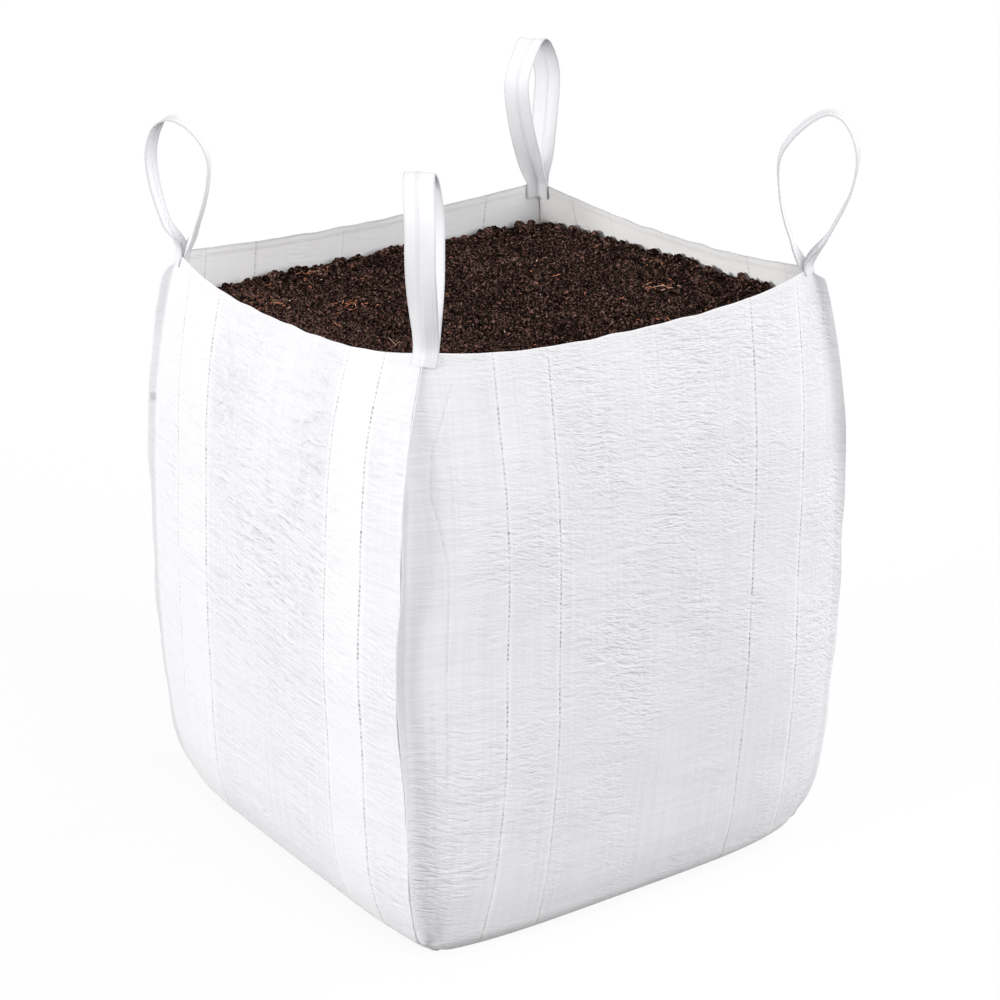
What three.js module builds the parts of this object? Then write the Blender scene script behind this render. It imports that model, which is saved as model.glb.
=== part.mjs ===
import * as THREE from "three";

// An open woven bulk bag of topsoil, in millimetres, Z up, standing on Z = 0.
// The near corner is at -X -Y; the front wall faces -Y and the left wall faces -X.

// Overall form
const rimHeight = 1012;        // floor to the rim at the near corner
const cornerReach = 421;       // centre line to a corner seam, along X or Y, where the bag is fullest
const wallBulge = 38;          // how far a wall swells past its corner seams where it is fullest
const leftDrop = 8;            // the left corner of the rim sits lower than the near one
const rightLift = 14;          // the right corner sits higher
const backLift = 9;            // so does the back corner
const seamDrift = 22;          // sideways drift of the near corner seam, towards the left wall
const nearFoot = 13;           // how far the near corner spreads where it stands on the floor
const footSpread = 17;         // how far the foot of a wall spreads, at most
const rimSag = 33;             // dip of the rim between two corners, at most

// Fabric
const fabric = 1.5;            // thickness of the woven cloth with its coating
const hemDepth = 16;           // height of the turned-over hem
const hemThickness = 3;        // two layers of cloth
const hemStep = 1.5;           // height over which the cloth thickens into its hem
const hemLead = 10;            // plain cloth kept straight below the hem
const seamFin = 18;            // width of the seam allowance standing out at a corner
const finFoot = 40;            // height of the lower end of a seam allowance
const bandInner = 190;         // reinforcing band, from the middle of a wall to its near edge
const bandOuter = 296;         // and to its far edge
const bandRaise = 0.9;         // how far a reinforcing band stands out
const bandEdge = 3;            // width over which a band rises from the cloth
const bandShift = 27;          // how far a wall's bands sit to one side of its middle, at most
const seat = 0.3;              // clearance between pieces that touch
const looseSeat = 0.4;         // clearance where a piece lies along a curved one
const soilSeat = 0.5;          // clearance between the soil and the cloth round it

// Lifting loops
const webWidth = 46;
const webThickness = 2.6;
const loopRise = 262;          // top of a loop above its corner of the rim
const loopSpread = 60;         // how far a leg of a loop stands in or out from its corner
const webLap = 13;             // length of webbing sewn to the cloth below the rim
const lapMargin = 2.5;         // flat cloth kept beside the webbing
const lapTop = 2;              // webbing kept flat above the rim
const webFree = 9;             // height above the rim where the webbing begins to arch

// Fill
const soilBelowRim = 75;       // near corner of the rim down to the soil at the walls, on average
const soilRise = 17;           // soil at the right corner above the average, at the left below it
const soilMound = 10;          // rise of the soil in the middle
const clodSize = 7;            // height of the lumps on the soil
const clodWidth = 34;          // width of a lump
const heapHeight = 15;         // hollow to top of the larger heaps
const heapWidth = 58;          // half the way from one heap to the next

// Height, reach of the corner seam, swell of the wall, seam drift and spread of the foot,
// as shares of the sizes above and of each wall's own
const outline = [
  [0.000, 0.862, 0.32, -0.25, 1.00],
  [0.006, 0.879, 0.42, 0.05, 0.98],
  [0.020, 0.905, 0.58, 0.38, 0.88],
  [0.050, 0.929, 0.74, 0.66, 0.66],
  [0.100, 0.957, 0.86, 0.82, 0.38],
  [0.200, 0.983, 0.95, 0.94, 0.10],
  [0.340, 0.998, 1.00, 1.05, 0.00],
  [0.480, 1.000, 1.00, 1.28, 0.00],
  [0.630, 0.994, 0.96, 1.12, 0.00],
  [0.770, 0.977, 0.88, 0.98, 0.00],
  [0.870, 0.951, 0.79, 0.80, 0.00],
  [0.935, 0.928, 0.70, 0.50, 0.00],
  [1.000, 0.900, 0.62, 0.12, 0.00],
];

const corners = [
  { x: -1, y: -1, height: rimHeight },
  { x: 1, y: -1, height: rimHeight + rightLift },
  { x: 1, y: 1, height: rimHeight + backLift },
  { x: -1, y: 1, height: rimHeight - leftDrop },
];
// Swell, spread of the foot on the floor, dip of the rim and shift of the bands at the foot,
// half-way up and at the rim, as shares of the sizes above
const walls = [
  { out: new THREE.Vector3(0, -1, 0), swell: 1.15, foot: 0.65, sag: 0.86, shifts: [0.5, 1.0, 1.4] },
  { out: new THREE.Vector3(1, 0, 0), swell: 1.0, foot: 0.53, sag: 0.94, shifts: [0, 0, 0] },
  { out: new THREE.Vector3(0, 1, 0), swell: 1.0, foot: 0.53, sag: 0.62, shifts: [0, 0, 0] },
  { out: new THREE.Vector3(-1, 0, 0), swell: 0.72, foot: 0.05, sag: 1.12, shifts: [-0.3, 0.6, -0.4] },
];

const up = new THREE.Vector3(0, 0, 1);
const vec = (x, y, z) => new THREE.Vector3(x, y, z);
const clamp01 = (x) => Math.min(1, Math.max(0, x));
const ease = (x) => clamp01(x) ** 2 * (3 - 2 * clamp01(x));

function share(level, column) {
  for (let i = 1; i < outline.length; i++) {
    const [below, above] = [outline[i - 1], outline[i]];
    if (level <= above[0] || i === outline.length - 1) {
      const part = (level - below[0]) / (above[0] - below[0]);
      return below[column] + (above[column] - below[column]) * part;
    }
  }
  return 0;
}

function cornerPoint(index, level) {
  const corner = corners[index % 4];
  const reach = cornerReach * share(level, 1);
  const point = vec(corner.x * reach, corner.y * reach, corner.height * level);
  if (index % 4 === 0) {
    const drift = seamDrift * share(level, 3);
    const spread = nearFoot * share(level, 4);
    point.add(vec(-0.819 * drift, 0.574 * drift, 0)).add(vec(-0.574 * spread, -0.819 * spread, 0));
  }
  return point;
}

// A point on the outer face of a wall: side runs from -1 at one corner to 1 at the next
function wallPoint(wall, side, level) {
  const point = cornerPoint(wall, level).lerp(cornerPoint(wall + 1, level), (side + 1) / 2);
  const { out, swell, foot, sag } = walls[wall];
  const reach = wallBulge * swell * share(level, 2) + footSpread * foot * share(level, 4);
  point.addScaledVector(out, reach * (1 - side ** 4));
  point.z -= rimSag * sag * (1 - Math.abs(side) ** 2.5) * level ** 6;
  return point;
}

const hemLevel = 1 - hemDepth / rimHeight;
const wallLevels = [
  ...outline.map((row) => row[0]).filter((level) => level < hemLevel - 0.02),
  hemLevel - hemLead / rimHeight,
  hemLevel,
  hemLevel + hemStep / rimHeight,
  1,
];
const bandSides = [bandInner / cornerReach, bandOuter / cornerReach];
const bandStep = bandEdge / cornerReach;
const lapSide = 1 - (webWidth / 2 + lapMargin) / (cornerReach * share(1, 1));
const halfSides = [
  0.24,
  bandSides[0] - bandStep,
  bandSides[0],
  (bandSides[0] + bandSides[1]) / 2,
  bandSides[1],
  bandSides[1] + bandStep,
  (bandSides[1] + lapSide) / 2 + 0.02,
  lapSide,
];
const wallSides = [...halfSides.map((side) => -side).reverse(), 0, ...halfSides];

// The bands keep their distance from the middle of the cloth where the corners draw in
function columnSide(wall, side, level) {
  const [low, middle, high] = walls[wall].shifts;
  const bow = low * (1 - 2 * level) * (1 - level) + middle * 4 * level * (1 - level);
  const shift = bandShift * (bow + high * level * (2 * level - 1));
  const kept = side / share(level, 1) + shift / cornerReach;
  const free = clamp01((lapSide - Math.abs(side)) / (lapSide - bandSides[1] - bandStep));
  return side + (kept - side) * free;
}

const inBand = (side) => {
  const reach = Math.abs(side);
  return reach > bandSides[0] - 1e-6 && reach < bandSides[1] + 1e-6;
};

function facetNormal(wall, side, low, high) {
  const level = (low + high) / 2;
  const across = wallPoint(wall, side + 0.02, level).sub(wallPoint(wall, side - 0.02, level));
  const along = wallPoint(wall, side, high).sub(wallPoint(wall, side, low));
  return across.cross(along).normalize();
}

function mitre(first, second) {
  return first.clone().add(second).divideScalar(1 + first.dot(second));
}

// Direction in which the wall is made thinner or thicker at one of its levels
function wallNormal(wall, side, row) {
  const levels = wallLevels;
  const above = row + 1 < levels.length ? facetNormal(wall, side, levels[row], levels[row + 1]) : null;
  const below = row > 0 ? facetNormal(wall, side, levels[row - 1], levels[row]) : vec(0, 0, -1);
  return above ? mitre(above, below) : below;
}

// The corner between a wall and the next one: its point, its outward mitre, and the way along it
function cornerFrame(index, row) {
  const before = wallNormal((index + 3) % 4, 0.97, row);
  const after = wallNormal(index % 4, -0.97, row);
  const outward = before.clone().add(after).setZ(0).normalize();
  const first = before.clone().normalize();
  const second = after.clone().normalize();
  const scale = (before.length() + after.length()) / 2;
  return {
    point: cornerPoint(index, wallLevels[row]),
    mitre: mitre(first, second).multiplyScalar(scale),
    outward,
    aside: up.clone().cross(outward),
  };
}

// How far each seam allowance leans over at its foot, how soon it begins to, and the share of the
// height below the rim over which it comes out to its full width
const fins = [
  { lean: -0.5, limp: 0.5, top: 0.22 },
  { lean: 1.25, limp: 0.05, top: 0.05 },
  { lean: 0.6, limp: 0.1, top: 0.05 },
  { lean: -1.0, limp: 0.1, top: 0.05 },
];

// How far the seam allowance stands out, and how far it leans over, at one level
function finShape(index, row) {
  const height = wallLevels[row] * corners[index % 4].height;
  if (wallLevels[row] > hemLevel - 1e-6 || height < finFoot) {
    return { width: 0, lean: 0 };
  }
  const down = 1 - wallLevels[row];
  const { lean, limp, top } = fins[index % 4];
  return { width: seamFin * ease(down / top), lean: lean * ease(limp + down * 1.4) };
}

const clothThickness = (row) => (wallLevels[row] > hemLevel + 1e-6 ? hemThickness : fabric);

// Outer and inner points of a wall at one row, from one seam allowance to the other
function wallRow(wall, row) {
  const level = wallLevels[row];
  const thickness = clothThickness(row);
  const outer = [];
  const inner = [];
  const edge = (index, side, sign) => {
    const frame = cornerFrame(index, row);
    const along = wallPoint(wall, side, level).sub(frame.point);
    const aside = frame.aside.clone().multiplyScalar(sign);
    const reach = along.dot(aside);
    const on = (distance) => frame.point.clone().addScaledVector(along, distance / reach);
    const fin = finShape(index, row);
    const half = seat / 2;
    const rootOut = on(half + 3 * fabric);
    const rootIn = frame.point.clone().addScaledVector(frame.mitre, -thickness);
    rootIn.addScaledVector(aside, half);
    let tipOut = on(half + fabric);
    let tipIn = on(half);
    if (fin.width > 0) {
      const tip = frame.point.clone();
      tip.addScaledVector(frame.outward, fin.width * Math.cos(fin.lean));
      tip.addScaledVector(frame.aside, fin.width * Math.sin(fin.lean));
      tipOut = tip.clone().addScaledVector(aside, half + fabric);
      tipIn = tip.clone().addScaledVector(aside, half);
    }
    return [[tipOut, tipIn], [rootOut, rootIn]];
  };
  for (const [out, inside] of edge(wall, wallSides[0], 1)) {
    outer.push(out);
    inner.push(inside);
  }
  for (const side of wallSides) {
    const place = columnSide(wall, side, level);
    const normal = wallNormal(wall, place, row);
    const point = wallPoint(wall, place, level);
    inner.push(point.clone().addScaledVector(normal, -thickness));
    outer.push(point.addScaledVector(normal, inBand(side) && row > 0 ? bandRaise : 0));
  }
  for (const [out, inside] of edge(wall + 1, wallSides[wallSides.length - 1], -1).reverse()) {
    outer.push(out);
    inner.push(inside);
  }
  return { outer, inner };
}

// A closed body from triangles over numbered points
class Body {
  constructor() {
    this.points = [];
    this.faces = [];
  }
  add(point) {
    this.points.push(point.x, point.y, point.z);
    return this.points.length / 3 - 1;
  }
  row(points) {
    return points.map((point) => this.add(point));
  }
  tri(a, b, c) {
    this.faces.push(a, b, c);
  }
  span(a, b) {
    const at = (i) => vec(this.points[3 * i], this.points[3 * i + 1], this.points[3 * i + 2]);
    return at(a).distanceTo(at(b));
  }
  // split along the shorter diagonal, so that two pieces that lie together are split alike
  quad(a, b, c, d) {
    if (this.span(a, c) <= this.span(b, d)) {
      this.tri(a, b, c);
      this.tri(a, c, d);
    } else {
      this.tri(a, b, d);
      this.tri(b, c, d);
    }
  }
  // rows run one way and their points the other, seen from outside as right then up
  sheet(rows, flip) {
    for (let i = 0; i + 1 < rows.length; i++) {
      this.strip(rows[i], rows[i + 1], flip);
    }
  }
  strip(low, high, flip) {
    for (let j = 0; j + 1 < low.length; j++) {
      if (flip) {
        this.quad(low[j], high[j], high[j + 1], low[j + 1]);
      } else {
        this.quad(low[j], low[j + 1], high[j + 1], high[j]);
      }
    }
  }
  mesh(name, material) {
    const geometry = new THREE.BufferGeometry();
    geometry.setAttribute("position", new THREE.Float32BufferAttribute(this.points, 3));
    geometry.setIndex(this.faces);
    geometry.computeVertexNormals();
    const made = new THREE.Mesh(geometry, material);
    made.name = name;
    return made;
  }
}

// A cloth of two faces over the same rows, closed round its four edges
function clothBody(rows) {
  const body = new Body();
  const outer = rows.map((row) => body.row(row.outer));
  const inner = rows.map((row) => body.row(row.inner));
  const last = rows.length - 1;
  const end = rows[0].outer.length - 1;
  body.sheet(outer, false);
  body.sheet(inner, true);
  body.strip(inner[0], outer[0], false);
  body.strip(outer[last], inner[last], false);
  body.strip(outer.map((row) => row[0]), inner.map((row) => row[0]), false);
  body.strip(inner.map((row) => row[end]), outer.map((row) => row[end]), false);
  return body;
}

function mixRows(low, high, part) {
  const mix = (a, b) => a.map((point, i) => point.clone().lerp(b[i], part));
  return { outer: mix(low.outer, high.outer), inner: mix(low.inner, high.inner) };
}

const allRows = walls.map((_, wall) => wallLevels.map((_, row) => wallRow(wall, row)));

// Side panels: sewn in between the two tall ends of the body panel, just clear of the base
function sidePanel(wall) {
  const rows = allRows[wall];
  const lift = (fabric + looseSeat) / (wallLevels[1] * rimHeight);
  return clothBody([mixRows(rows[0], rows[1], lift), ...rows.slice(1)]);
}

// A point of the base at Z = 0, between the foot lines of the four walls
function basePoint(side, depth) {
  const [across, deep] = [(side + 1) / 2, (depth + 1) / 2];
  const front = wallPoint(0, side, 0);
  const back = wallPoint(2, -side, 0);
  const left = wallPoint(3, -depth, 0);
  const right = wallPoint(1, depth, 0);
  const foot = [0, 1, 2, 3].map((index) => cornerPoint(index, 0));
  const lower = foot[0].clone().lerp(foot[1], across);
  const upper = foot[3].clone().lerp(foot[2], across);
  return front.lerp(back, deep).add(left.lerp(right, across)).sub(lower.lerp(upper, deep));
}

// Body panel: one length of cloth down the front, under the soil and up the back
function bodyPanel() {
  const front = allRows[0].slice().reverse();
  const turned = (row) => ({ outer: row.outer.slice().reverse(), inner: row.inner.slice().reverse() });
  const back = allRows[2].map(turned);
  const sides = [-1, -0.985, ...wallSides, 0.985, 1];
  const base = [];
  for (const depth of [-0.9, -0.7, -0.4, 0, 0.4, 0.7, 0.9]) {
    const outer = sides.map((side) => basePoint(side, depth));
    base.push({ outer, inner: outer.map((point) => point.clone().setZ(fabric)) });
  }
  // from the front rim down and up the back, each row has its points running the other way
  const rows = [...front, ...base, ...back].map(turned);
  return clothBody(rows);
}

// Repeatable lumps on the soil
function lump(x, y, cell, seed) {
  const value = (i, j) => {
    const wave = Math.sin(i * 127.1 + j * 311.7 + seed * 74.7) * 43758.5453;
    return wave - Math.floor(wave);
  };
  const [u, v] = [x / cell, y / cell];
  const [i, j] = [Math.floor(u), Math.floor(v)];
  const [a, b] = [ease(u - i), ease(v - j)];
  const low = value(i, j) * (1 - a) + value(i + 1, j) * a;
  const high = value(i, j + 1) * (1 - a) + value(i + 1, j + 1) * a;
  return low * (1 - b) + high * b - 0.5;
}

const soilEdge = (x, y) => rimHeight - soilBelowRim + (soilRise * (x - y)) / (2 * cornerReach);

function soilTop(x, y, within) {
  const mound = soilMound * ease(within * 1.6);
  const heaps = heapHeight * lump(x, y, heapWidth, 4) + clodSize * lump(x, y, clodWidth, 1);
  return soilEdge(x, y) + mound + heaps * clamp01(within * 12);
}

// Topsoil: fills the cloth just clear of its inner face, with a lumpy top
function soilBody() {
  const body = new Body();
  const offset = fabric + soilSeat;
  const sides = wallSides.filter((side) => {
    const step = Math.abs(Math.abs(side) - bandSides[0] + bandStep);
    const far = Math.abs(Math.abs(side) - bandSides[1] - bandStep);
    return step > 1e-6 && far > 1e-6;
  });
  const levels = wallLevels.filter((level) => level <= hemLevel + 1e-6);
  const count = sides.length + 1;
  const column = (k) => {
    const [wall, step] = [Math.floor(k / count), k % count];
    return levels.map((level, row) => {
      if (step === 0) {
        const frame = cornerFrame(wall, row);
        return frame.point.clone().addScaledVector(frame.mitre, -offset);
      }
      const side = columnSide(wall, sides[step - 1], level);
      return wallPoint(wall, side, level).addScaledVector(wallNormal(wall, side, row), -offset);
    });
  };
  const columns = Array.from({ length: 4 * count }, (_, k) => column(k));
  const topOf = (points) => {
    for (let i = 1; i < points.length; i++) {
      const height = soilEdge(points[i].x, points[i].y);
      if (points[i].z >= height) {
        const part = (height - points[i - 1].z) / (points[i].z - points[i - 1].z);
        return points[i - 1].clone().lerp(points[i], part);
      }
    }
    return points[points.length - 1].clone();
  };
  const keep = levels.filter((level) => level < 0.88).length;
  const ring = (points) => [...body.row(points), 0];
  const rings = [];
  for (let row = 0; row < keep; row++) {
    const made = ring(columns.map((points) => points[row]));
    made[made.length - 1] = made[0];
    rings.push(made);
  }
  body.sheet(rings, false);
  const floorCentre = body.add(vec(0, 0, offset));
  for (let k = 0; k < 4 * count; k++) {
    body.tri(floorCentre, rings[0][k + 1], rings[0][k]);
  }
  // twice as many points round the top as down the sides
  const edge = [];
  const tops = columns.map(topOf);
  tops.forEach((point, k) => {
    const next = tops[(k + 1) % tops.length];
    edge.push(point, point.clone().lerp(next, 0.5));
  });
  const side = 2 * count;
  const grid = [];
  const rimAt = (wall, step) => edge[(wall * side + step) % edge.length];
  for (let j = 0; j <= side; j++) {
    const line = [];
    for (let i = 0; i <= side; i++) {
      const [across, deep] = [i / side, j / side];
      const point = rimAt(0, i).clone().lerp(rimAt(2, side - i), deep);
      point.add(rimAt(3, side - j).clone().lerp(rimAt(1, j), across));
      const lower = rimAt(0, 0).clone().lerp(rimAt(1, 0), across);
      const upper = rimAt(3, 0).clone().lerp(rimAt(2, 0), across);
      point.sub(lower.lerp(upper, deep));
      const within = Math.min(i, j, side - i, side - j) / side;
      if (within > 0) {
        point.z = soilTop(point.x, point.y, within);
      }
      line.push(point);
    }
    grid.push(body.row(line));
  }
  body.sheet(grid, false);
  const around = [];
  for (let i = 0; i < side; i++) {
    around.push(grid[0][i]);
  }
  for (let j = 0; j < side; j++) {
    around.push(grid[j][side]);
  }
  for (let i = side; i > 0; i--) {
    around.push(grid[side][i]);
  }
  for (let j = side; j > 0; j--) {
    around.push(grid[j][0]);
  }
  const last = rings[rings.length - 1];
  for (let k = 0; k < 4 * count; k++) {
    const [a, b] = [last[k], last[k + 1]];
    const [p, m, q] = [around[2 * k], around[2 * k + 1], around[(2 * k + 2) % around.length]];
    body.tri(a, b, m);
    body.tri(a, m, p);
    body.tri(b, q, m);
  }
  return body;
}

// The two walls at a corner of the rim: the foot of the webbing lies along both
function lapFrame(index, height) {
  const top = wallLevels.length - 1;
  const tip = cornerPoint(index, 1);
  const below = cornerPoint(index, wallLevels[top - 1]);
  const part = -height / (tip.z - below.z);
  const apex = tip.clone().lerp(below, part);
  const down = below.clone().sub(tip);
  const sides = [[(index + 3) % 4, lapSide], [index % 4, -lapSide]].map(([wall, side]) => {
    const foot = wallPoint(wall, side, 1).lerp(wallPoint(wall, side, wallLevels[top - 1]), part);
    const along = foot.sub(apex).normalize();
    const normal = along.clone().cross(down).normalize();
    normal.multiplyScalar(Math.sign(normal.dot(walls[wall].out)));
    return { along, normal };
  });
  return { apex, sides, mitre: mitre(sides[0].normal, sides[1].normal) };
}

// Points across the webbing: along one face and back along the other, with a shallow groove
const webSection = [
  [-1, -1], [-0.36, -1], [0, -0.7], [0.36, -1], [1, -1],
  [1, 1], [0.36, 1], [0, 0.7], [-0.36, 1], [-1, 1],
];

// Lifting loop: webbing lapped inside and outside a corner of the rim, and arched between
function loopBody(index, pose) {
  const frame = cornerFrame(index, wallLevels.length - 1);
  const tip = frame.point;
  const half = webWidth / 2;
  const thick = webThickness / 2;
  const clear = looseSeat + thick;
  const lap = Math.min(webLap, hemDepth - hemStep);
  const rise = loopRise * pose.rise;
  const away = (leg, y) => (leg === "inner" ? -(hemThickness + clear) + y : clear - y);
  const lapMiddle = (leg, height) => {
    const foot = lapFrame(index, height);
    return foot.apex.clone().addScaledVector(foot.mitre, away(leg, 0));
  };
  const lapRing = (leg, height) => {
    const foot = lapFrame(index, height);
    return webSection.map(([x, y]) => {
      const off = away(leg, y * thick);
      if (x === 0) {
        return foot.apex.clone().addScaledVector(foot.mitre, off);
      }
      const side = foot.sides[x < 0 ? 0 : 1];
      const along = foot.apex.clone().addScaledVector(side.along, Math.abs(x) * half);
      return along.addScaledVector(side.normal, off);
    });
  };
  const start = lapMiddle("inner", lapTop);
  const finish = lapMiddle("outer", lapTop);
  const inner = loopSpread * pose.inner;
  const outer = loopSpread * pose.outer;
  const crown = loopSpread * pose.crown;
  const innerAside = loopSpread * pose.innerAside;
  const outerAside = loopSpread * pose.outerAside;
  const crownAside = loopSpread * pose.crownAside;
  const reach = (point) => point.clone().sub(tip).dot(frame.outward);
  const at = (out, aside, height) => {
    const point = tip.clone().addScaledVector(frame.outward, out);
    return point.addScaledVector(frame.aside, aside).addScaledVector(up, height);
  };
  const path = new THREE.CatmullRomCurve3([
    lapMiddle("inner", -lap),
    start,
    at(reach(start) + inner * 0.5, innerAside * 0.4, rise * 0.2),
    at(inner * 0.95, innerAside * 0.85, rise * 0.5),
    at(inner * 0.95, innerAside, rise * 0.74),
    at(inner * 0.45 + crown * 0.55, innerAside * 0.35 + crownAside * 0.65, rise * 0.94),
    at(crown, crownAside, rise),
    at(outer * 0.55 + crown * 0.45, outerAside * 0.35 + crownAside * 0.65, rise * 0.95),
    at(outer, outerAside, rise * 0.76),
    at(outer * 0.9, outerAside * 0.8, rise * 0.5),
    at(reach(finish) + outer * 0.36, outerAside * 0.3, rise * 0.2),
    finish,
    lapMiddle("outer", -lap),
  ], false, "centripetal");
  const straight = lapFrame(index, 0);
  const bend = Math.acos(straight.sides[0].normal.dot(straight.sides[1].normal)) / 2;
  const body = new Body();
  const steps = 38;
  const rings = [lapRing("inner", -lap), lapRing("inner", lapTop)];
  for (let i = 1; i < steps; i++) {
    const part = i / steps;
    const point = path.getPointAt(part);
    const along = path.getTangentAt(part);
    const height = point.z - tip.z;
    if (height < webFree) {
      continue;
    }
    const leg = part < 0.5 ? -1 : 1;
    const across = frame.aside.clone();
    across.addScaledVector(frame.outward, -pose.twist * ease(height / rise) * leg * 0.5);
    across.addScaledVector(along, -across.dot(along)).normalize();
    const normal = across.clone().cross(along).normalize();
    const fold = bend * (1 - ease((height - lapTop) / (rise * 0.22))) * leg;
    rings.push(webSection.map(([x, y]) => {
      const flat = x * half * Math.cos(fold);
      const bent = Math.abs(x) * half * Math.sin(fold) + (y * thick) / Math.cos(fold);
      return point.clone().addScaledVector(across, flat).addScaledVector(normal, bent);
    }));
  }
  rings.push(lapRing("outer", lapTop), lapRing("outer", -lap));
  const rows = rings.map((ring) => body.row(ring));
  body.sheet(rows.map((row) => [...row, row[0]]), true);
  const close = (row, flip) => {
    for (let j = 0; j < 4; j++) {
      const [a, b, c, d] = [row[j], row[j + 1], row[8 - j], row[9 - j]];
      if (flip) {
        body.quad(a, d, c, b);
      } else {
        body.quad(a, b, c, d);
      }
    }
  };
  close(rows[0], false);
  close(rows[rows.length - 1], true);
  return body;
}

const cloth = () => new THREE.MeshStandardMaterial({ color: 0xf1f1f3, roughness: 0.62, metalness: 0 });
const webbing = () => new THREE.MeshStandardMaterial({ color: 0xeeeeef, roughness: 0.7, metalness: 0 });
const earth = () => new THREE.MeshStandardMaterial({ color: 0x2c1d18, roughness: 0.95, metalness: 0 });

// Where the legs and the crown of each loop stand, as shares of loopSpread and loopRise
const loopPoses = [
  {
    inner: -0.75, innerAside: -0.03, outer: 0.6, outerAside: -0.03,
    crown: -0.1, crownAside: -0.12, rise: 1.03, twist: 0.05,
  },
  {
    inner: -1.0, innerAside: 0, outer: 1.08, outerAside: 0,
    crown: 0.33, crownAside: 0, rise: 0.97, twist: 0.1,
  },
  {
    inner: -0.8, innerAside: 0.56, outer: 0.77, outerAside: -0.12,
    crown: 0, crownAside: 0.22, rise: 1.0, twist: 0.5,
  },
  {
    inner: -1.0, innerAside: 0, outer: 0.72, outerAside: 0,
    crown: 0.07, crownAside: 0, rise: 0.87, twist: 0.1,
  },
];
const loopNames = ["lifting_loop_near", "lifting_loop_right", "lifting_loop_back", "lifting_loop_left"];

const bag = new THREE.Group();
bag.name = "bulk_bag_of_topsoil";
bag.add(bodyPanel().mesh("body_panel", cloth()));
bag.add(sidePanel(3).mesh("side_panel_left", cloth()));
bag.add(sidePanel(1).mesh("side_panel_right", cloth()));
bag.add(soilBody().mesh("topsoil", earth()));
loopPoses.forEach((pose, index) => {
  bag.add(loopBody(index, pose).mesh(loopNames[index], webbing()));
});

// Put the middle of the whole bag over the origin
const box = new THREE.Box3().setFromObject(bag);
const middle = box.getCenter(vec(0, 0, 0));
for (const piece of bag.children) {
  piece.geometry.translate(-middle.x, -middle.y, -box.min.z);
}

export default bag;
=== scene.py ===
import math

import bmesh
import bpy
import numpy as np
from bpy.props import FloatProperty, FloatVectorProperty, IntProperty, PointerProperty
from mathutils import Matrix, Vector, noise


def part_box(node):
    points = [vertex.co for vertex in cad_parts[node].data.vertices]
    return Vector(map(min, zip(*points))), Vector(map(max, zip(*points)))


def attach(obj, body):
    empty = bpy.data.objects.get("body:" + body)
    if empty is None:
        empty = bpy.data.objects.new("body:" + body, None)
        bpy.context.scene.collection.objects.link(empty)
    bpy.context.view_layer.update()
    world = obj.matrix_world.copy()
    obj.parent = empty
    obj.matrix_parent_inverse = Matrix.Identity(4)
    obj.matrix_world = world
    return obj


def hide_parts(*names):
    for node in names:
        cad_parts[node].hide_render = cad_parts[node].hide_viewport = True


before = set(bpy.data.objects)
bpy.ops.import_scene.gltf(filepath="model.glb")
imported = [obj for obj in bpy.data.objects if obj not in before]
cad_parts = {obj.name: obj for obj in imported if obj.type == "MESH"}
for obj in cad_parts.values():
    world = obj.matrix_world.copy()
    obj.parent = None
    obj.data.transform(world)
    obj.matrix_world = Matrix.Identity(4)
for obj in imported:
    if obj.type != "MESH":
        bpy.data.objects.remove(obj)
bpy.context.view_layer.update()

bl_info = {
    "name": "Bulk bag of topsoil",
    "version": (1, 0, 0),
    "blender": (4, 5, 0),
    "location": "View3D > Sidebar > Bulk bag",
    "description": "An open woven bag with four lifting loops, full of topsoil",
    "category": "Object",
}


# Sizes and colours that a user would change

def length(name, description, metres):
    return FloatProperty(name=name, description=description, default=metres, unit="LENGTH")


def number(name, description, count):
    return IntProperty(name=name, description=description, default=count)


def tint(name, description, red, green, blue):
    return FloatVectorProperty(
        name=name, description=description, default=(red, green, blue, 1.0), subtype="COLOR", size=4)


class BagSizes(bpy.types.PropertyGroup):
    """Sizes of the bag, its loops and its fill."""

    rim_height: length("Rim height", "Floor to the rim at the near corner", 1.012)
    corner_reach: length("Corner reach", "Centre line to a corner seam where the bag is fullest", 0.421)
    wall_bulge: length("Wall bulge", "Swell of a wall past its corner seams", 0.038)
    fabric: length("Fabric", "Thickness of the woven cloth", 0.0015)
    hem_depth: length("Hem depth", "Height of the turned-over hem", 0.016)
    seam_width: length("Seam width", "Seam allowance standing out at a corner", 0.018)
    band_inner: length("Band inner edge", "Middle of a wall to the near edge of a reinforcing band", 0.190)
    band_outer: length("Band outer edge", "Middle of a wall to the far edge of a reinforcing band", 0.296)
    band_shift: length("Band shift", "How far a wall's bands sit to one side of its middle, at most", 0.027)
    web_width: length("Webbing width", "Width of a lifting loop's webbing", 0.046)
    web_thickness: length("Webbing thickness", "Thickness of the webbing", 0.0026)
    loop_rise: length("Loop rise", "Top of a loop above its corner of the rim", 0.262)
    loop_spread: length("Loop spread", "How far a leg of a loop stands in or out from its corner", 0.060)
    web_lap: length("Webbing lap", "Webbing sewn to the cloth below the rim", 0.020)
    soil_below_rim: length("Soil below rim", "Rim down to the soil at the walls", 0.075)
    soil_rise: length("Soil rise", "Soil at the right corner above its average level", 0.023)
    soil_mound: length("Soil mound", "Rise of the soil in the middle", 0.010)
    clod_size: length("Clod size", "Height of the lumps on the soil", 0.007)
    clod_width: length("Clod width", "Width of a lump", 0.034)
    heap_height: length("Heap height", "Hollow to top of the larger heaps of soil", 0.015)
    heap_width: length("Heap width", "Half the way from one heap to the next", 0.058)
    crumb_size: length("Crumb size", "Width of an ordinary crumb of soil", 0.0085)
    crumbs: number("Crumbs", "Number of larger crumbs on the soil", 3800)
    grains: number("Grains", "Number of small grains on the soil", 9000)
    fibres: number("Fibres", "Number of root and bark fibres in the soil", 230)
    bunched_fibres: number("Bunched fibres", "How many of the fibres lie in bunches", 96)


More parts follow.
